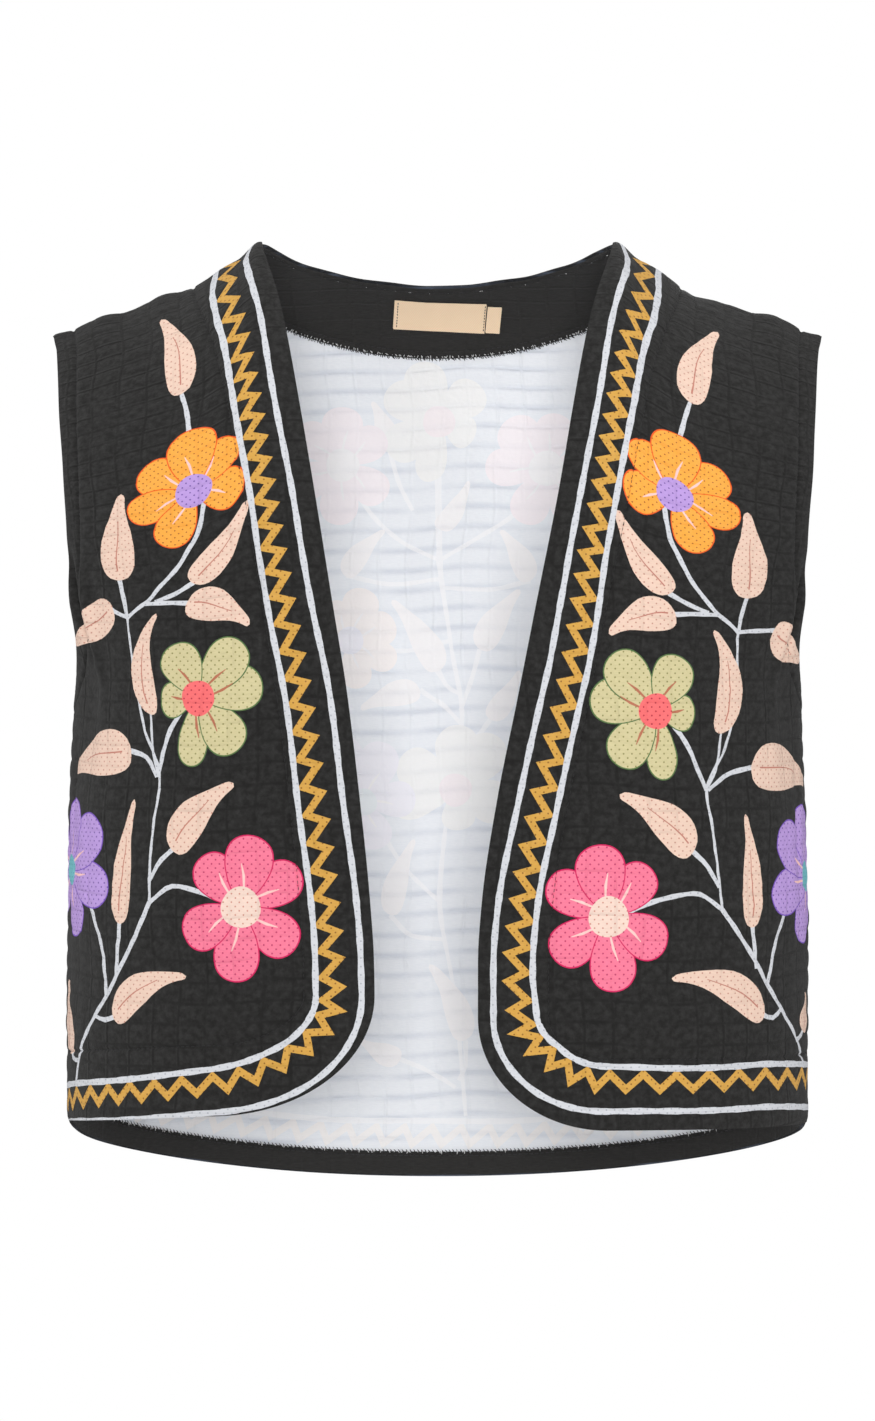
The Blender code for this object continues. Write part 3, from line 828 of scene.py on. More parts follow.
def plain(name, colour, roughness, **others):
    """A matt material of one colour, with its node tree and its shader's inputs."""
    look = bpy.data.materials.new(name)
    look.use_nodes = True
    sockets = look.node_tree.nodes["Principled BSDF"].inputs
    values = {"Base Color": (*colour, 1), "Roughness": roughness, **others}
    for socket, value in values.items():
        sockets[socket].default_value = value
    return look, look.node_tree, sockets


def effect(name, inputs, outputs):
    """An empty node group with its named sockets."""
    group = bpy.data.node_groups.new(name, "ShaderNodeTree")
    for socket, kind, default in inputs:
        made = group.interface.new_socket(socket, in_out="INPUT", socket_type="NodeSocket" + kind)
        if default is not None:
            made.default_value = default
    for socket, kind in outputs:
        group.interface.new_socket(socket, in_out="OUTPUT", socket_type="NodeSocket" + kind)
    return group, group.nodes.new("NodeGroupInput").outputs, group.nodes.new("NodeGroupOutput").inputs


dots, given, result = effect("small dots", [("Place", "Vector", None), ("Pitch", "Float", 0.0045),
                                            ("Radius", "Float", 0.0004)], [("Mask", "Float")])
marks = []
for shift in (0.0, 0.5):
    grid = vector(dots, "DIVIDE", given["Place"], given["Pitch"])[0]
    grid = vector(dots, "ADD", grid, (shift, shift, 0))[0]
    grid = vector(dots, "FRACTION", grid)[0]
    grid = vector(dots, "SUBTRACT", grid, (0.5, 0.5, 0))[0]
    away = times(dots, vector(dots, "LENGTH", grid)["Value"], given["Pitch"])
    marks.append(remap(dots, away, times(dots, given["Radius"], 1.35), given["Radius"]))
dots.links.new(sums(dots, "MAXIMUM", *marks), result["Mask"])

THREAD_PITCH = 0.00046
WEAVE_OUTPUTS = ("Height", "Line", "Row Band", "Slub", "Mottle")
weave, given, result = effect("gauze weave", [("Place", "Vector", None)],
                              [(name, "Float") for name in WEAVE_OUTPUTS])
across_place, down_place = node(weave, "SeparateXYZ", {0: given["Place"]})[:2]
lines = []
for way, other, cell, waves in (
    (across_place, down_place, CELL_ACROSS, ((31.0, 0.0, 0.12), (113.0, 1.3, 0.05))),
    (down_place, across_place, CELL_DOWN, ((27.0, 0.6, 0.16), (90.0, 0.0, 0.06))),
):
    cells = sums(weave, "DIVIDE", way, cell)
    for rate, start, size in waves:
        cells = sums(weave, "ADD", cells, wave(weave, other, rate, start, size))
    offset = times(weave, sums(weave, "PINGPONG", cells, 0.5), cell)
    lines.append(remap(weave, offset, 0.0013, 0.0002, interpolation_type="SMOOTHSTEP"))
patch = remap(weave, noise(weave, given["Place"], 30.0, 2.0), 0.36, 0.60, 0.3, 1.0)
line_mask = times(weave, sums(weave, "MAXIMUM", *lines), patch)
row_band = times(weave, remap(weave, offset, 0.0032, 0.0002, interpolation_type="SMOOTHSTEP"), patch)
threads = [sums(weave, "ABSOLUTE", wave(weave, value, np.pi / THREAD_PITCH, 0.0, 1.0))
           for value in (across_place, down_place)]
slub = noise(weave, vector(weave, "MULTIPLY", given["Place"], (240, 1900, 1))[0], 1.0, 2.0)
mottle = noise(weave, given["Place"], 260.0, 4.0, Roughness=0.62)
height = sums(weave, "ADD", times(weave, *threads, 0.00008), times(weave, slub, 0.00016))
height = sums(weave, "ADD", height, times(weave, mottle, 0.0008))
height = sums(weave, "SUBTRACT", height, times(weave, line_mask, 0.00052))
for name, value in zip(WEAVE_OUTPUTS, (height, line_mask, row_band, slub, mottle)):
    weave.links.new(value, result[name])


COTTON = {"Specular IOR Level": 0.25, "Sheen Weight": 0.05, "Sheen Roughness": 0.6}
UNDYED = (0.8, 0.8, 0.8)


def cotton(name):
    """A matt material with its parts, the place on the cloth and the gauze's weave there."""
    look, tree, sockets = plain(name, UNDYED, 0.88, **COTTON)
    place = node(tree, "UVMap", {}, uv_map="cloth_place")[0]
    gauze = node(tree, "Group", {"Place": place}, node_tree=weave)
    bump = node(tree, "Bump", {"Height": gauze["Height"], "Distance": 1.0, "Strength": 0.8})[0]
    tree.links.new(bump, sockets["Normal"])
    return look, tree, sockets, place, gauze


printed, tree, sockets, place, gauze = cotton("printed double gauze")
mark = node(tree, "Group", {"Place": place}, node_tree=dots)
ink = node(tree, "Attribute", {}, attribute_name="ink")[0]
dot_ink = node(tree, "Attribute", {}, attribute_name="dot_ink")[0]
# Painted shade: the ink is a little darker along the tacking lines, where the cloth dips between the puffed
# cells.
shade = sums(tree, "SUBTRACT", 1.0, times(tree, gauze["Line"], 0.05))
grain = remap(tree, gauze["Slub"], 0.3, 0.7, 0.95, 1.04)
colour = scaled(tree, mixed(tree, mark["Mask"], ink, dot_ink), times(tree, shade, grain))
# A faint mottle, mostly kept off the tacking lines, lightens the ground. It is partly uneven tone and
# partly a painted highlight on the puffed cells.
mottle_and_painted_highlight = remap(tree, gauze["Mottle"], 0.38, 0.66, 0.0, 0.015)
mottle_and_painted_highlight = times(tree, mottle_and_painted_highlight, sums(tree, "SUBTRACT", 1.0, times(tree, gauze["Line"], 0.8)))
tree.links.new(vector(tree, "ADD", colour, mottle_and_painted_highlight)[0], sockets["Base Color"])

white_side, tree, sockets, place, gauze = cotton("white inner gauze")
seen = node(tree, "Attribute", {}, attribute_name="ink")
streak = remap(tree, gauze["Slub"], 0.38, 0.66)
over_black = remap(tree, seen["Alpha"], 0.0, 1.0, 0.35, 1.0)
faint = sums(tree, "ADD", times(tree, gauze["Line"], 0.02), times(tree, gauze["Row Band"], 0.20))
faint = times(tree, sums(tree, "ADD", faint, times(tree, streak, 0.06)), over_black)
tree.links.new(mixed(tree, faint, seen[0], (*srgb(150, 165, 192), 1)), sockets["Base Color"])

black_gauze, tree, sockets, place, gauze = cotton("plain black gauze")
grain = remap(tree, gauze["Slub"], 0.3, 0.7, 0.8, 1.2)
tree.links.new(scaled(tree, srgb(41, 40, 39), grain), sockets["Base Color"])

# Fronts
# Two single layers of double gauze, printed with a flowering stem each. The printed border
# follows the front edge around the corner to the side seam.

# Places in millimetres across and down the cloth; the border's lines and steps in tenths of one
FRONT_PRINT = {
    "wearer_right": {
        "flowers": (("orange", (131, 177)), ("green", (129, 299)), ("pink", (105, 410)),
                    ("violet", (233, 392))),
        "leaves": (
            ((150, 41), (138, 108), 17, -0.05), ((173, 169), (176, 229), 22, 0.03),
            ((101, 193), (132, 234), 17, -0.06), ((100, 260), (135, 246), 20, 0.11),
            ((225, 268), (182, 245), 22, 0.05), ((153, 251), (158, 308), 15, 0.15),
            ((232, 339), (173, 327), 25, -0.05), ((109, 344), (145, 380), 20, 0.08),
            ((170, 353), (179, 420), 13, 0.04), ((136, 447), (183, 471), 18, 0.13),
            ((236, 452), (226, 492), 16, 0.04),
        ),
        "stems": (
            ((138, 108), (135, 122), (133, 140)),
            ((219, 508), (211, 487), (186, 455), (170, 430), (159, 408)),
            ((172, 253), (164, 247), (158, 243), (151, 235), (142, 226), (134, 214), (128, 202),
             (125, 185)),
            ((160, 245), (147, 245), (134, 246)), ((154, 244), (142, 240), (131, 234)),
            ((172, 253), (174, 240), (176, 228)), ((171, 253), (178, 250), (184, 246)),
            ((155, 341), (163, 330), (174, 327)),
            ((154, 341), (150, 326), (146, 316), (138, 305)),
            ((159, 408), (143, 399), (125, 403), (112, 408)),
            ((159, 396), (152, 386), (144, 379)), ((181, 448), (180, 434), (179, 419)),
            ((198, 470), (191, 472), (182, 470)),
            ((189, 459), (191, 440), (198, 420), (210, 405), (228, 396)),
            ((215, 495), (221, 495), (226, 490)),
        ),
        "thin_stems": (
            ((159, 408), (159, 389), (157, 367), (153, 341), (163, 316), (169, 289), (172, 253)),
            ((154, 341), (158, 325), (159, 307)),
        ),
        "outer": (30, 55, 91, 108, 126, 128, 118, 109, 100, 70, 62, 48, 34, 12, 0, -15),
        "inner": (235, 246, 258, 294, 326, 336, 350, 344, 338, 312, 306, 300, 288, 240, 212, 180),
        "steps": (215, 215, 212, 200, 168, 126, 127, 145, 149, 150, 185, 212, 192, 172, 152, 155),
    },
    "wearer_left": {
        "flowers": (("orange", (127, 181)), ("green", (117, 306)), ("pink", (91, 415)),
                    ("violet", (237, 396))),
        "leaves": (
            ((152, 52), (136, 115), 18, -0.05), ((169, 183), (171, 241), 23, 0.03),
            ((95, 199), (125, 241), 17, -0.06), ((91, 265), (128, 253), 20, 0.11),
            ((228, 278), (191, 260), 22, 0.05), ((151, 261), (157, 318), 18, 0.15),
            ((243, 345), (178, 336), 26, -0.05), ((97, 350), (139, 381), 21, 0.08),
            ((173, 361), (177, 422), 14, 0.04), ((126, 448), (185, 470), 19, 0.12),
            ((236, 459), (227, 480), 16, 0.04),
        ),
        "stems": (
            ((136, 115), (133, 128), (130, 143)),
            ((228, 499), (219, 487), (188, 453), (175, 435), (157, 412)),
            ((166, 262), (158, 255), (152, 251), (145, 243), (137, 233), (130, 220), (124, 207),
             (121, 189)),
            ((154, 252), (141, 252), (127, 253)), ((147, 251), (136, 247), (124, 241)),
            ((166, 262), (168, 251), (171, 240)), ((165, 262), (175, 261), (192, 260)),
            ((148, 348), (163, 339), (179, 336)),
            ((147, 348), (140, 334), (135, 324), (126, 312)),
            ((157, 412), (140, 403), (120, 406), (100, 413)),
            ((155, 400), (147, 388), (138, 380)), ((179, 444), (178, 432), (177, 421)),
            ((200, 466), (192, 471), (184, 469)),
            ((188, 453), (193, 436), (201, 419), (214, 406), (232, 399)),
            ((215, 484), (221, 483), (227, 479)),
        ),
        "thin_stems": (
            ((157, 412), (155, 396), (151, 370), (147, 348), (160, 325), (167, 295), (166, 262)),
            ((147, 348), (154, 334), (157, 317)),
        ),
        "outer": (26, 50, 83, 108, 122, 126, 118, 122, 132, 78, 78, 92, 96, 104, 110, 76),
        "inner": (235, 240, 245, 276, 311, 311, 314, 330, 340, 286, 318, 358, 340, 332, 340, 310),
        "steps": (215, 215, 212, 200, 168, 126, 127, 145, 149, 150, 185, 215, 188, 190, 195, 160),
    },
}
BORDER_SHARES = (0, 0.015, 0.033, 0.055, 0.09, 0.155, 0.3, 0.34, 0.38, 0.61, 0.65, 0.70, 0.75, 0.82,
                 0.90, 1)
THIN_STEM = (1.7, 1.6)
EDGE_TURN = (-0.003, 0.006)
GROOVE_HALF_WIDTH = 0.0014
FRONT_SPACING = 0.0022
BACK_SPACING = 0.0029


def bouquet(places):
    """The printed shapes of a flowering stem: stems first, then leaves, then flowers."""
    shapes = []
    for points in places["thin_stems"]:
        shapes += stem(points, *THIN_STEM)
    for points in places["stems"]:
        shapes += stem(points)
    for points in places["leaves"]:
        shapes += leaf(*points)
    for kind, centre, *turned in places["flowers"]:
        shapes += flower(kind, centre, *turned)
    return shapes


def turned_edge(line, widths, into):
    """Strips along an edge whose inner face is the printed side, or is hidden by a facing.

    Their borders let the cloth dip in a sharp line where it is stitched.
    """
    lines = [inset(line[::3], width, into) for width in widths]
    return [np.concatenate([near, far[::-1]]) for near, far in zip(lines, lines[1:])]


def groove(stitch):
    return (stitch - GROOVE_HALF_WIDTH, stitch, stitch + GROOVE_HALF_WIDTH)


def panel(name, form, mirror, outline, bands, spacing, prints, turned, node_name, **settings):
    """A printed panel of double gauze, white inside, which hangs from the shoulder seams."""
    piece = sew_up(name, form, mirror, outline, bands, [printed, white_side], spacing, WALL,
                   prints=prints, turned=turned, **settings)
    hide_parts(node_name)
    return piece


cuts = {name: front_cut(name) for name in MIRROR}
fronts = {}
for name, mirror in MIRROR.items():
    free, armhole, side = cuts[name]
    hole = even(armhole, CUT_SPACING)
    places = FRONT_PRINT[name]
    widths = [np.array(places[part]) / 10000 for part in ("outer", "inner", "steps")]
    prints = bouquet(places) + border(free, *widths, BORDER_SHARES, INTO_FRONT)
    outline = np.concatenate([free, side[::-1][1:], armhole[::-1][1:]])
    turned = turned_edge(free, EDGE_TURN, INTO_FRONT) + turned_edge(free, groove(FRONT_STITCH), INTO_FRONT)
    turned += turned_edge(hole[::-1], (EDGE_TURN[0], *groove(ARMHOLE_HEM_WIDTH)), INTO_ARMHOLE)
    fronts[name] = panel("printed_front_" + name, front, mirror, outline,
                         [(free, FRONT_STITCH), (hole, ARMHOLE_HEM_WIDTH)], FRONT_SPACING, prints, turned,
                         "front_" + name)

# Back
# One layer of the same double gauze, sewn to the fronts at the shoulder and side seams. A
# flowering stem of its own grows between theirs, and the border runs along hem and neck.

half_neck, half_hem, half_armhole, half_side = back_cut()
neck, hem = both_halves(half_neck), both_halves(half_hem)
seam_side = np.concatenate([half_armhole, half_side[1:]])
outline = np.concatenate([neck, seam_side, hem[::-1][1:], (seam_side * OTHER_HALF)[::-1][1:]])
BACK_PRINT = {
    "flowers": (("green", (1, 145), 20, 0.95), ("pink", (-54, 170), 10, 0.86),
                ("pink", (62, 172), -30, 0.92), ("green", (10, 355), 80),
                ("orange", (-50, 270), 15, 0.75), ("violet", (-42, 362), 30, 0.9)),
    "leaves": (
        ((-37, 133), (-27, 162), 13, 0.05), ((18, 179), (1, 207), 12, 0.05),
        ((-30, 207), (-53, 233), 13, -0.05), ((36, 207), (53, 236), 14, 0.05),
        ((-26, 247), (1, 287), 16, 0.05), ((47, 241), (24, 275), 16, -0.04),
        ((-44, 309), (-10, 298), 15, 0.06), ((47, 287), (30, 315), 13, 0.04),
        ((-13, 383), (-27, 426), 14, -0.05), ((-4, 454), (16, 497), 16, 0.06),
        ((-44, 497), (-21, 508), 13, -0.05),
    ),
    "stems": (
        ((16, 540), (10, 474), (1, 418), (6, 360), (14, 315), (7, 270), (1, 224), (0, 150)),
        ((1, 224), (-20, 214), (-40, 195), (-52, 172)), ((1, 224), (22, 212), (46, 196), (60, 174)),
        ((1, 235), (-25, 238), (-52, 233)), ((3, 240), (28, 241), (53, 236)),
        ((7, 270), (-20, 276), (-46, 272)), ((12, 300), (5, 296), (0, 287)),
        ((13, 310), (20, 290), (24, 275)), ((14, 318), (2, 306), (-10, 298)),
        ((10, 330), (22, 325), (30, 315)), ((1, 418), (-18, 400), (-36, 372)),
        ((3, 440), (-14, 438), (-27, 426)), ((12, 520), (16, 510), (16, 497)),
        ((10, 524), (-6, 514), (-21, 508)),
        ((0, 207), (1, 205), (1, 200)), ((-14, 196), (-22, 180), (-27, 162)),
    ),
    "thin_stems": (),
}


# A stem that ends farther out than this, in millimetres, carries the violet flower
VIOLET_STEM_FROM = 227


def moved(places, flip, shift):
    """A front's flowering stem, without its violet flower, moved to one half of the back."""

    def put(*points):
        return [(flip * (point[0] + shift[0]), point[1] + shift[1]) for point in points]

    return {
        "flowers": [(kind, *put(centre)) for kind, centre in places["flowers"] if kind != "violet"],
        "leaves": [(*put(tip, root), width, bend * flip) for tip, root, width, bend in places["leaves"]],
        "stems": [put(*points) for points in places["stems"] if points[-1][0] < VIOLET_STEM_FROM],
        "thin_stems": [put(*points) for points in places["thin_stems"]],
    }


prints = bouquet(moved(FRONT_PRINT["wearer_right"], -1, (12, 42)))
prints += bouquet(moved(FRONT_PRINT["wearer_left"], 1, (12, 36))) + bouquet(BACK_PRINT)
prints += border(hem, (-0.0015, 0.0030, 0.0060, 0.0060, 0.0076), (0.0180, 0.0250, 0.0310, 0.0310, 0.0310),
                 (0.0165,) * 5, (0.0, 0.08, 0.2, 0.9, 1.0), INTO_HEM)
prints += border(neck[::-1], (0.0030, 0.0100, 0.0126, 0.0126, 0.0100, 0.0030),
                 (0.0235, 0.0275, 0.0335, 0.0335, 0.0275, 0.0235), (0.0150,) * 6,
                 (0.0, 0.1, 0.22, 0.78, 0.9, 1.0), INTO_NECK)
half_hole = even(half_armhole, CUT_SPACING)
neck_bands, hem_bands = [(neck, gap) for gap in NECK_STITCHES], [(hem, BACK_HEM_STITCH)]
bands = neck_bands + hem_bands
bands += [(half_hole, ARMHOLE_HEM_WIDTH), (half_hole * OTHER_HALF, ARMHOLE_HEM_WIDTH)]
holes = turned_edge(half_hole[::-1], (EDGE_TURN[0], *groove(ARMHOLE_HEM_WIDTH)), INTO_ARMHOLE)
turned = holes + [hole * OTHER_HALF for hole in holes]
turned += turned_edge(neck[::-1], (EDGE_TURN[0], *groove(NECK_STITCHES[0]), 0.007), INTO_NECK)
turned += turned_edge(neck[::-1], groove(NECK_STITCHES[1]), INTO_NECK)
turned += turned_edge(hem, (*EDGE_TURN, *groove(BACK_HEM_STITCH)), INTO_HEM)
back_piece = panel("printed_back", back, 1.0, outline, bands, BACK_SPACING, prints, turned, "back",
                   inner_scale=0.6)

# Facings
# Shaped bands of plain black gauze behind the front edges, the back neck and the back hem,
# with their inner edges overlocked.

BENEATH = WALL + CLEARANCE
FACING_WALL = 0.0010
NEAR_EDGE = 0.0009


def face(name, form, mirror, line, far_edge, into, bands, node_name, behind, spacing):
    """A band of plain gauze behind an edge, from just inside it to its overlocked inner edge."""
    outline = np.concatenate([inset(line, NEAR_EDGE, into), inset(line, far_edge, into)[::-1]])
    piece = sew_up(name, form, mirror, outline, bands, [black_gauze, black_gauze], spacing, FACING_WALL,
                   BENEATH)
    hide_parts(node_name)


for name, mirror in MIRROR.items():
    free = cuts[name][0]
    face("facing_of_front_" + name, front, mirror, free, FRONT_FACING_WIDTH, INTO_FRONT,
         [(free, FRONT_STITCH)], "front_facing_" + name, fronts[name], spacing=0.0030)
face("facing_of_back_neck", back, 1.0, neck[::-1], NECK_FACING_WIDTH, INTO_NECK, neck_bands,
     "back_neck_facing", back_piece, spacing=0.0026)
face("facing_of_back_hem", back, 1.0, hem, BACK_HEM_WIDTH, INTO_HEM, hem_bands, "back_hem_facing",
     back_piece, spacing=0.0024)

# Stitching
# Black cotton thread: single rows hold the facings, the armhole hems and the neck edge, and
# slanted overlock stitches bind the facings' raw edges, where white fibres poke out.

thread = plain("black cotton thread", srgb(32, 31, 33), 0.7)[0]
fibre = plain("white cotton fibre", srgb(250, 250, 250), 0.9)[0]


def scatter(number, seed):
    """A repeatable uneven value from 0 to 1 for each of a row of numbers."""
    value = np.sin(number * 12.9898 + seed * 78.233) * 43758.5453
    return value - np.floor(value)


GRAIN = ((0, 2, 1), (0, 3, 2), (0, 1, 3), (1, 2, 5, 4), (2, 3, 6, 5), (3, 1, 4, 6), (7, 4, 5), (7, 5, 6),
         (7, 6, 4))
SUNK = 0.00012
FIBRE_INSET = 0.0012
NECK_FOLD = 0.0030
# Pitch, length, width, slant, unevenness, seed and height of the rows beside plain topstitching
ROWS = {
    "front overlock": (0.0022, 0.0036, 0.0005, 0.9),
    "neck overlock": (0.0012, 0.0030, 0.0005, 1.1, 0.9),
    "hem overlock": (0.0022, 0.0034, 0.0005, 0.9),
    "neck fibres": (0.0017, 0.0013, 0.0004, 1.2, 1.7, 2.0, 0.0006),
    "hem fibres": (0.0021, 0.0018, 0.0004, 1.2, 1.8, 4.0, 0.0004),
    "fold fibres": (0.0093, 0.0007, 0.0004, 0.4, 1.8, 9.0),
    "label": (0.0021, 0.0017, 0.0005, 0.0, 0.2),
}


def stitches(form, mirror, line, bands, inward, face_out, pitch=0.0031, long=0.0024, wide=0.0006, slant=0.0,
             uneven=0.05, seed=1.0, raise_by=0.00025):
    """Vertices and faces of a row of stitches, each a small grain of thread that lies on the cloth."""
    length = lengths(line)
    at = np.arange(pitch / 2, length[-1] - pitch / 2, pitch)
    number = np.arange(len(at))

    def off(shift):
        return scatter(number, seed + shift) - 0.5

    at = at + pitch * uneven * off(0)
    middle = along(line, length, at)
    ahead = unit(along(line, length, at + 0.0006) - middle)
    turn = slant * (1 + 0.3 * off(3)) + uneven * off(7)
    way = np.stack([ahead[:, 0] * np.cos(turn) - ahead[:, 1] * np.sin(turn),
                    ahead[:, 0] * np.sin(turn) + ahead[:, 1] * np.cos(turn)], axis=-1)
    reach = long * (1 + uneven * off(5))[:, None] / 2
    start, normal, puffed = lie(form, mirror, middle - way * reach, bands, inward)
    end = lie(form, mirror, middle + way * reach, bands, inward)[0]
    out = normal * face_out
    lift = out * (puffed[:, None] if face_out > 0 and inward == 0 else 0)
    start, end = start + lift, end + lift
    side = unit(np.cross(out, end - start))
    rings = [start - out * SUNK]
    for share in (0.22, 0.78):
        spot = start * (1 - share) + end * share
        rings += [spot + side * wide / 2, spot + out * raise_by, spot - side * wide / 2]
    rings.append(end - out * SUNK)
    corners = np.stack(rings, axis=1).reshape(-1, 3)
    return corners, [tuple(8 * k + v for v in cell) for k in range(len(at)) for cell in GRAIN]


def both_faces(form, mirror, line, bands, behind):
    """A row of topstitching on the outer face of a panel and on the face that lies behind it."""
    return [stitches(form, mirror, line, bands, 0.0, 1), stitches(form, mirror, line, bands, behind, -1)]


def sew_row(name, look, rows):
    """Rows of stitches joined as one piece."""
    corners = np.concatenate([row[0] for row in rows])
    starts = np.cumsum([0] + [len(row[0]) for row in rows])
    cells = [tuple(v + start for v in cell) for start, row in zip(starts, rows) for cell in row[1]]
    mesh = bpy.data.meshes.new(name)
    mesh.from_pydata(corners.tolist(), [], cells)
    mesh.shade_smooth()
    mesh.materials.append(look)
    piece = add(name, mesh)
    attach(piece, "root")
    return piece


DEEP = BENEATH + FACING_WALL
for name, mirror in MIRROR.items():
    free, armhole, side = cuts[name]
    edge = [(free, FRONT_STITCH)]
    hole = even(armhole, CUT_SPACING)
    hem_line = inset(hole[::-1], ARMHOLE_HEM_WIDTH, INTO_ARMHOLE)
    sew_row("topstitching_" + name, thread,
            both_faces(front, mirror, inset(free, FRONT_STITCH, INTO_FRONT), edge, DEEP)
            + both_faces(front, mirror, hem_line, [(hole, ARMHOLE_HEM_WIDTH)], WALL))
    raw = inset(free, FRONT_FACING_WIDTH, INTO_FRONT)
    sew_row("overlock_" + name, thread,
            [stitches(front, mirror, raw, edge, DEEP, -1, *ROWS["front overlock"])])
neck_line = neck[::-1]
rows = []
for gap in NECK_STITCHES:
    rows += both_faces(back, 1.0, inset(neck_line, gap, INTO_NECK), neck_bands, DEEP)
rows += both_faces(back, 1.0, inset(hem, BACK_HEM_STITCH, INTO_HEM), hem_bands, DEEP)
half_line = inset(half_hole[::-1], ARMHOLE_HEM_WIDTH, INTO_ARMHOLE)
for flip in (np.ones(2), OTHER_HALF):
    rows += both_faces(back, 1.0, half_line * flip, [(half_hole * flip, ARMHOLE_HEM_WIDTH)], WALL)
sew_row("topstitching_back", thread, rows)
neck_raw, hem_raw = inset(neck_line, NECK_FACING_WIDTH, INTO_NECK), inset(hem, BACK_HEM_WIDTH, INTO_HEM)
sew_row("overlock_back", thread, [
    stitches(back, 1.0, neck_raw, neck_bands, DEEP, -1, *ROWS["neck overlock"]),
    stitches(back, 1.0, hem_raw, hem_bands, DEEP, -1, *ROWS["hem overlock"]),
])
neck_fibre_line = inset(neck_line, NECK_FACING_WIDTH - FIBRE_INSET, INTO_NECK)
sew_row("loose_fibres_back", fibre, [
    stitches(back, 1.0, neck_fibre_line, neck_bands, DEEP, -1, *ROWS["neck fibres"]),
    stitches(back, 1.0, hem_raw, hem_bands, DEEP, -1, *ROWS["hem fibres"]),
    stitches(back, 1.0, inset(neck_line, NECK_FOLD, INTO_NECK), neck_bands, DEEP, -1, *ROWS["fold fibres"]),
])

# Neck label and size tab
# Two bare pieces of peach twill tape: the label is stitched down at its ends, and the small
# tab is caught under its right end.

TAPE_WALL = 0.0008
TAPE_GAP = 0.0003
TWILL_PITCH = 0.0012
TAPES = {
    "neck_label": {"left": -0.0239, "top": 0.0098, "size": (0.0516, 0.0215), "tilt": 3.2},
    "size_tab": {"left": 0.0282, "top": 0.0148, "size": (0.0080, 0.0190), "tilt": 4.0},
}
twill, tree, sockets = plain("peach twill tape", UNDYED, 0.62, **{"Sheen Weight": 0.15})
split = node(tree, "SeparateXYZ", {0: node(tree, "UVMap", {}, uv_map="cloth_place")[0]})
slope = sums(tree, "SUBTRACT", split[0], split[1])
ridge = sums(tree, "ABSOLUTE", wave(tree, slope, np.pi / TWILL_PITCH, 0.0, 1.0))
peach = mixed(tree, ridge, (*srgb(255, 190, 150), 1), (*srgb(255, 240, 205), 1))
tree.links.new(peach, sockets["Base Color"])
bump = node(tree, "Bump", {"Height": ridge, "Distance": 0.0003, "Strength": 0.7})[0]
tree.links.new(bump, sockets["Normal"])

centre_neck = back.cloth([0.0], [BACK_NECK_HEIGHT])[0, 1]
# The middle of each long side bows in a little
TAPE_ENDS = np.array([(0.0, 0.0), (0.5, 0.006), (1.0, 0.0), (1.0, 1.0), (0.5, 0.994), (0.0, 1.0)])
for name, cut in TAPES.items():
    tilt = np.radians(cut["tilt"])
    way, drop = toward(tilt), np.array([-np.sin(tilt), np.cos(tilt)])
    corner = np.array([cut["left"], centre_neck + cut["top"]])
    length, width = cut["size"]
    outline = corner + np.outer(TAPE_ENDS[:, 0] * length, way) + np.outer(TAPE_ENDS[:, 1] * width, drop)
    piece = sew_up(name + "_tape", back, 1.0, outline, neck_bands, [twill, twill], 0.0016, TAPE_WALL,
                   DEEP + TAPE_GAP)
    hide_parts(name)
    if name == "neck_label":
        seams = [corner + np.outer([0.0012, width - 0.0012], drop) + way * gap
                 for gap in (0.0020, length - 0.0007)]
        tape_rows = [stitches(back, 1.0, seam, neck_bands, DEEP + TAPE_GAP + TAPE_WALL, -1, *ROWS["label"])
                     for seam in seams]
label_stitches = sew_row("label_stitches", thread, tape_rows)

# Floor, light and camera
# A pale floor well below the garment, six broad soft lamps around it, and white behind
# everything, as in a studio picture on a plain ground.

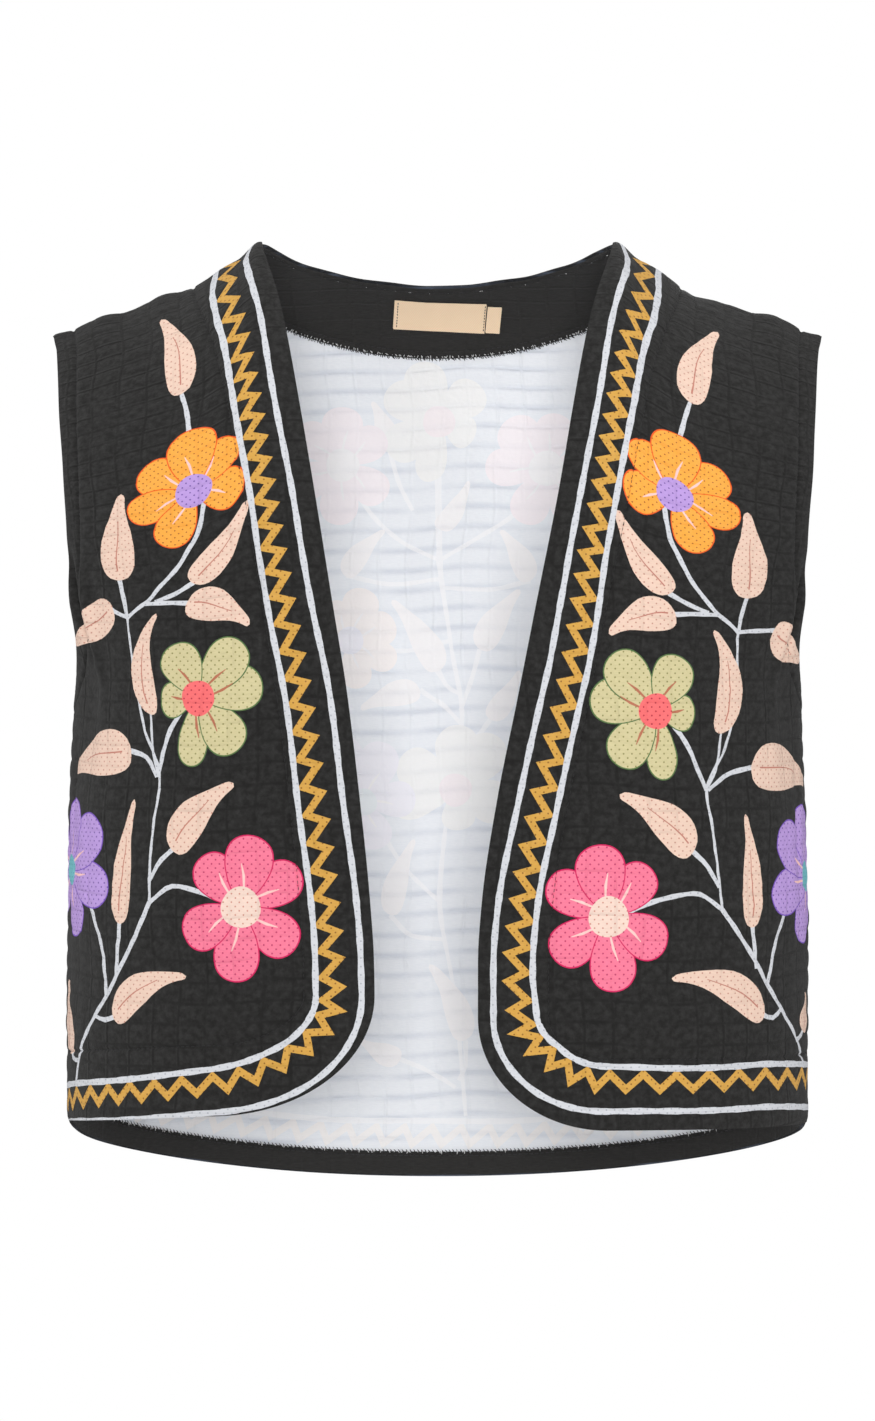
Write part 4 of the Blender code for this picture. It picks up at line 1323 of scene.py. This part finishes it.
FLOOR_RADIUS = 0.8
FLOOR_HEIGHT = -1.3
floor_mesh = bpy.data.meshes.new("pale floor")
ring = toward(np.linspace(0, 2 * np.pi, 64, endpoint=False)) * FLOOR_RADIUS
floor_mesh.from_pydata([(x, y, FLOOR_HEIGHT) for x, y in ring.tolist()], [], [list(range(64))])
floor_mesh.materials.append(plain("pale floor", (0.9, 0.9, 0.9), 0.8)[0])
add("pale floor", floor_mesh)

world = bpy.data.worlds.new("white studio")
world.use_nodes = True
bpy.context.scene.world = world
nodes, links = world.node_tree.nodes, world.node_tree.links
seen = nodes.new("ShaderNodeLightPath")
soft = nodes["Background"]
soft.inputs["Color"].default_value = (1, 1, 1, 1)
soft.inputs["Strength"].default_value = 0.32
backdrop = nodes.new("ShaderNodeBackground")
backdrop.inputs["Color"].default_value = (1, 1, 1, 1)
mix = nodes.new("ShaderNodeMixShader")
links.new(seen.outputs["Is Camera Ray"], mix.inputs[0])
links.new(soft.outputs[0], mix.inputs[1])
links.new(backdrop.outputs[0], mix.inputs[2])
links.new(mix.outputs[0], nodes["World Output"].inputs["Surface"])

LIT_POINT = Vector((0, 0, -0.25))
# Each lamp's name, place, width and power in watts
for name, place, size, power in (
    ("front", (0.0, -3.4, -0.1), 1.0, 78),
    ("key", (-1.9, -1.8, 1.5), 1.0, 22),
    ("side", (2.4, -0.6, 0.3), 1.4, 22),
    ("other side", (-2.6, 0.6, 0.2), 1.4, 22),
    ("rear", (0.4, 3.0, 0.6), 1.4, 62),
    ("top", (0.0, 0.0, 2.4), 1.2, 18),
):
    lamp = bpy.data.lights.new(name + " lamp", "AREA")
    lamp.size = size
    lamp.energy = power
    holder = add(name + " lamp", lamp)
    holder.location = place
    holder.rotation_euler = (LIT_POINT - Vector(place)).to_track_quat("-Z", "Y").to_euler()

# A long lens, level with the middle of the garment, as the photograph was taken
camera = bpy.data.cameras.new("front view")
camera.lens = 138.46
camera_holder = add("front view", camera)
camera_holder.location = (0, -3.0, -0.2567)
camera_holder.rotation_euler = (np.pi / 2, 0, 0)
bpy.context.scene.camera = camera_holder
bpy.context.scene.view_settings.view_transform = "Standard"
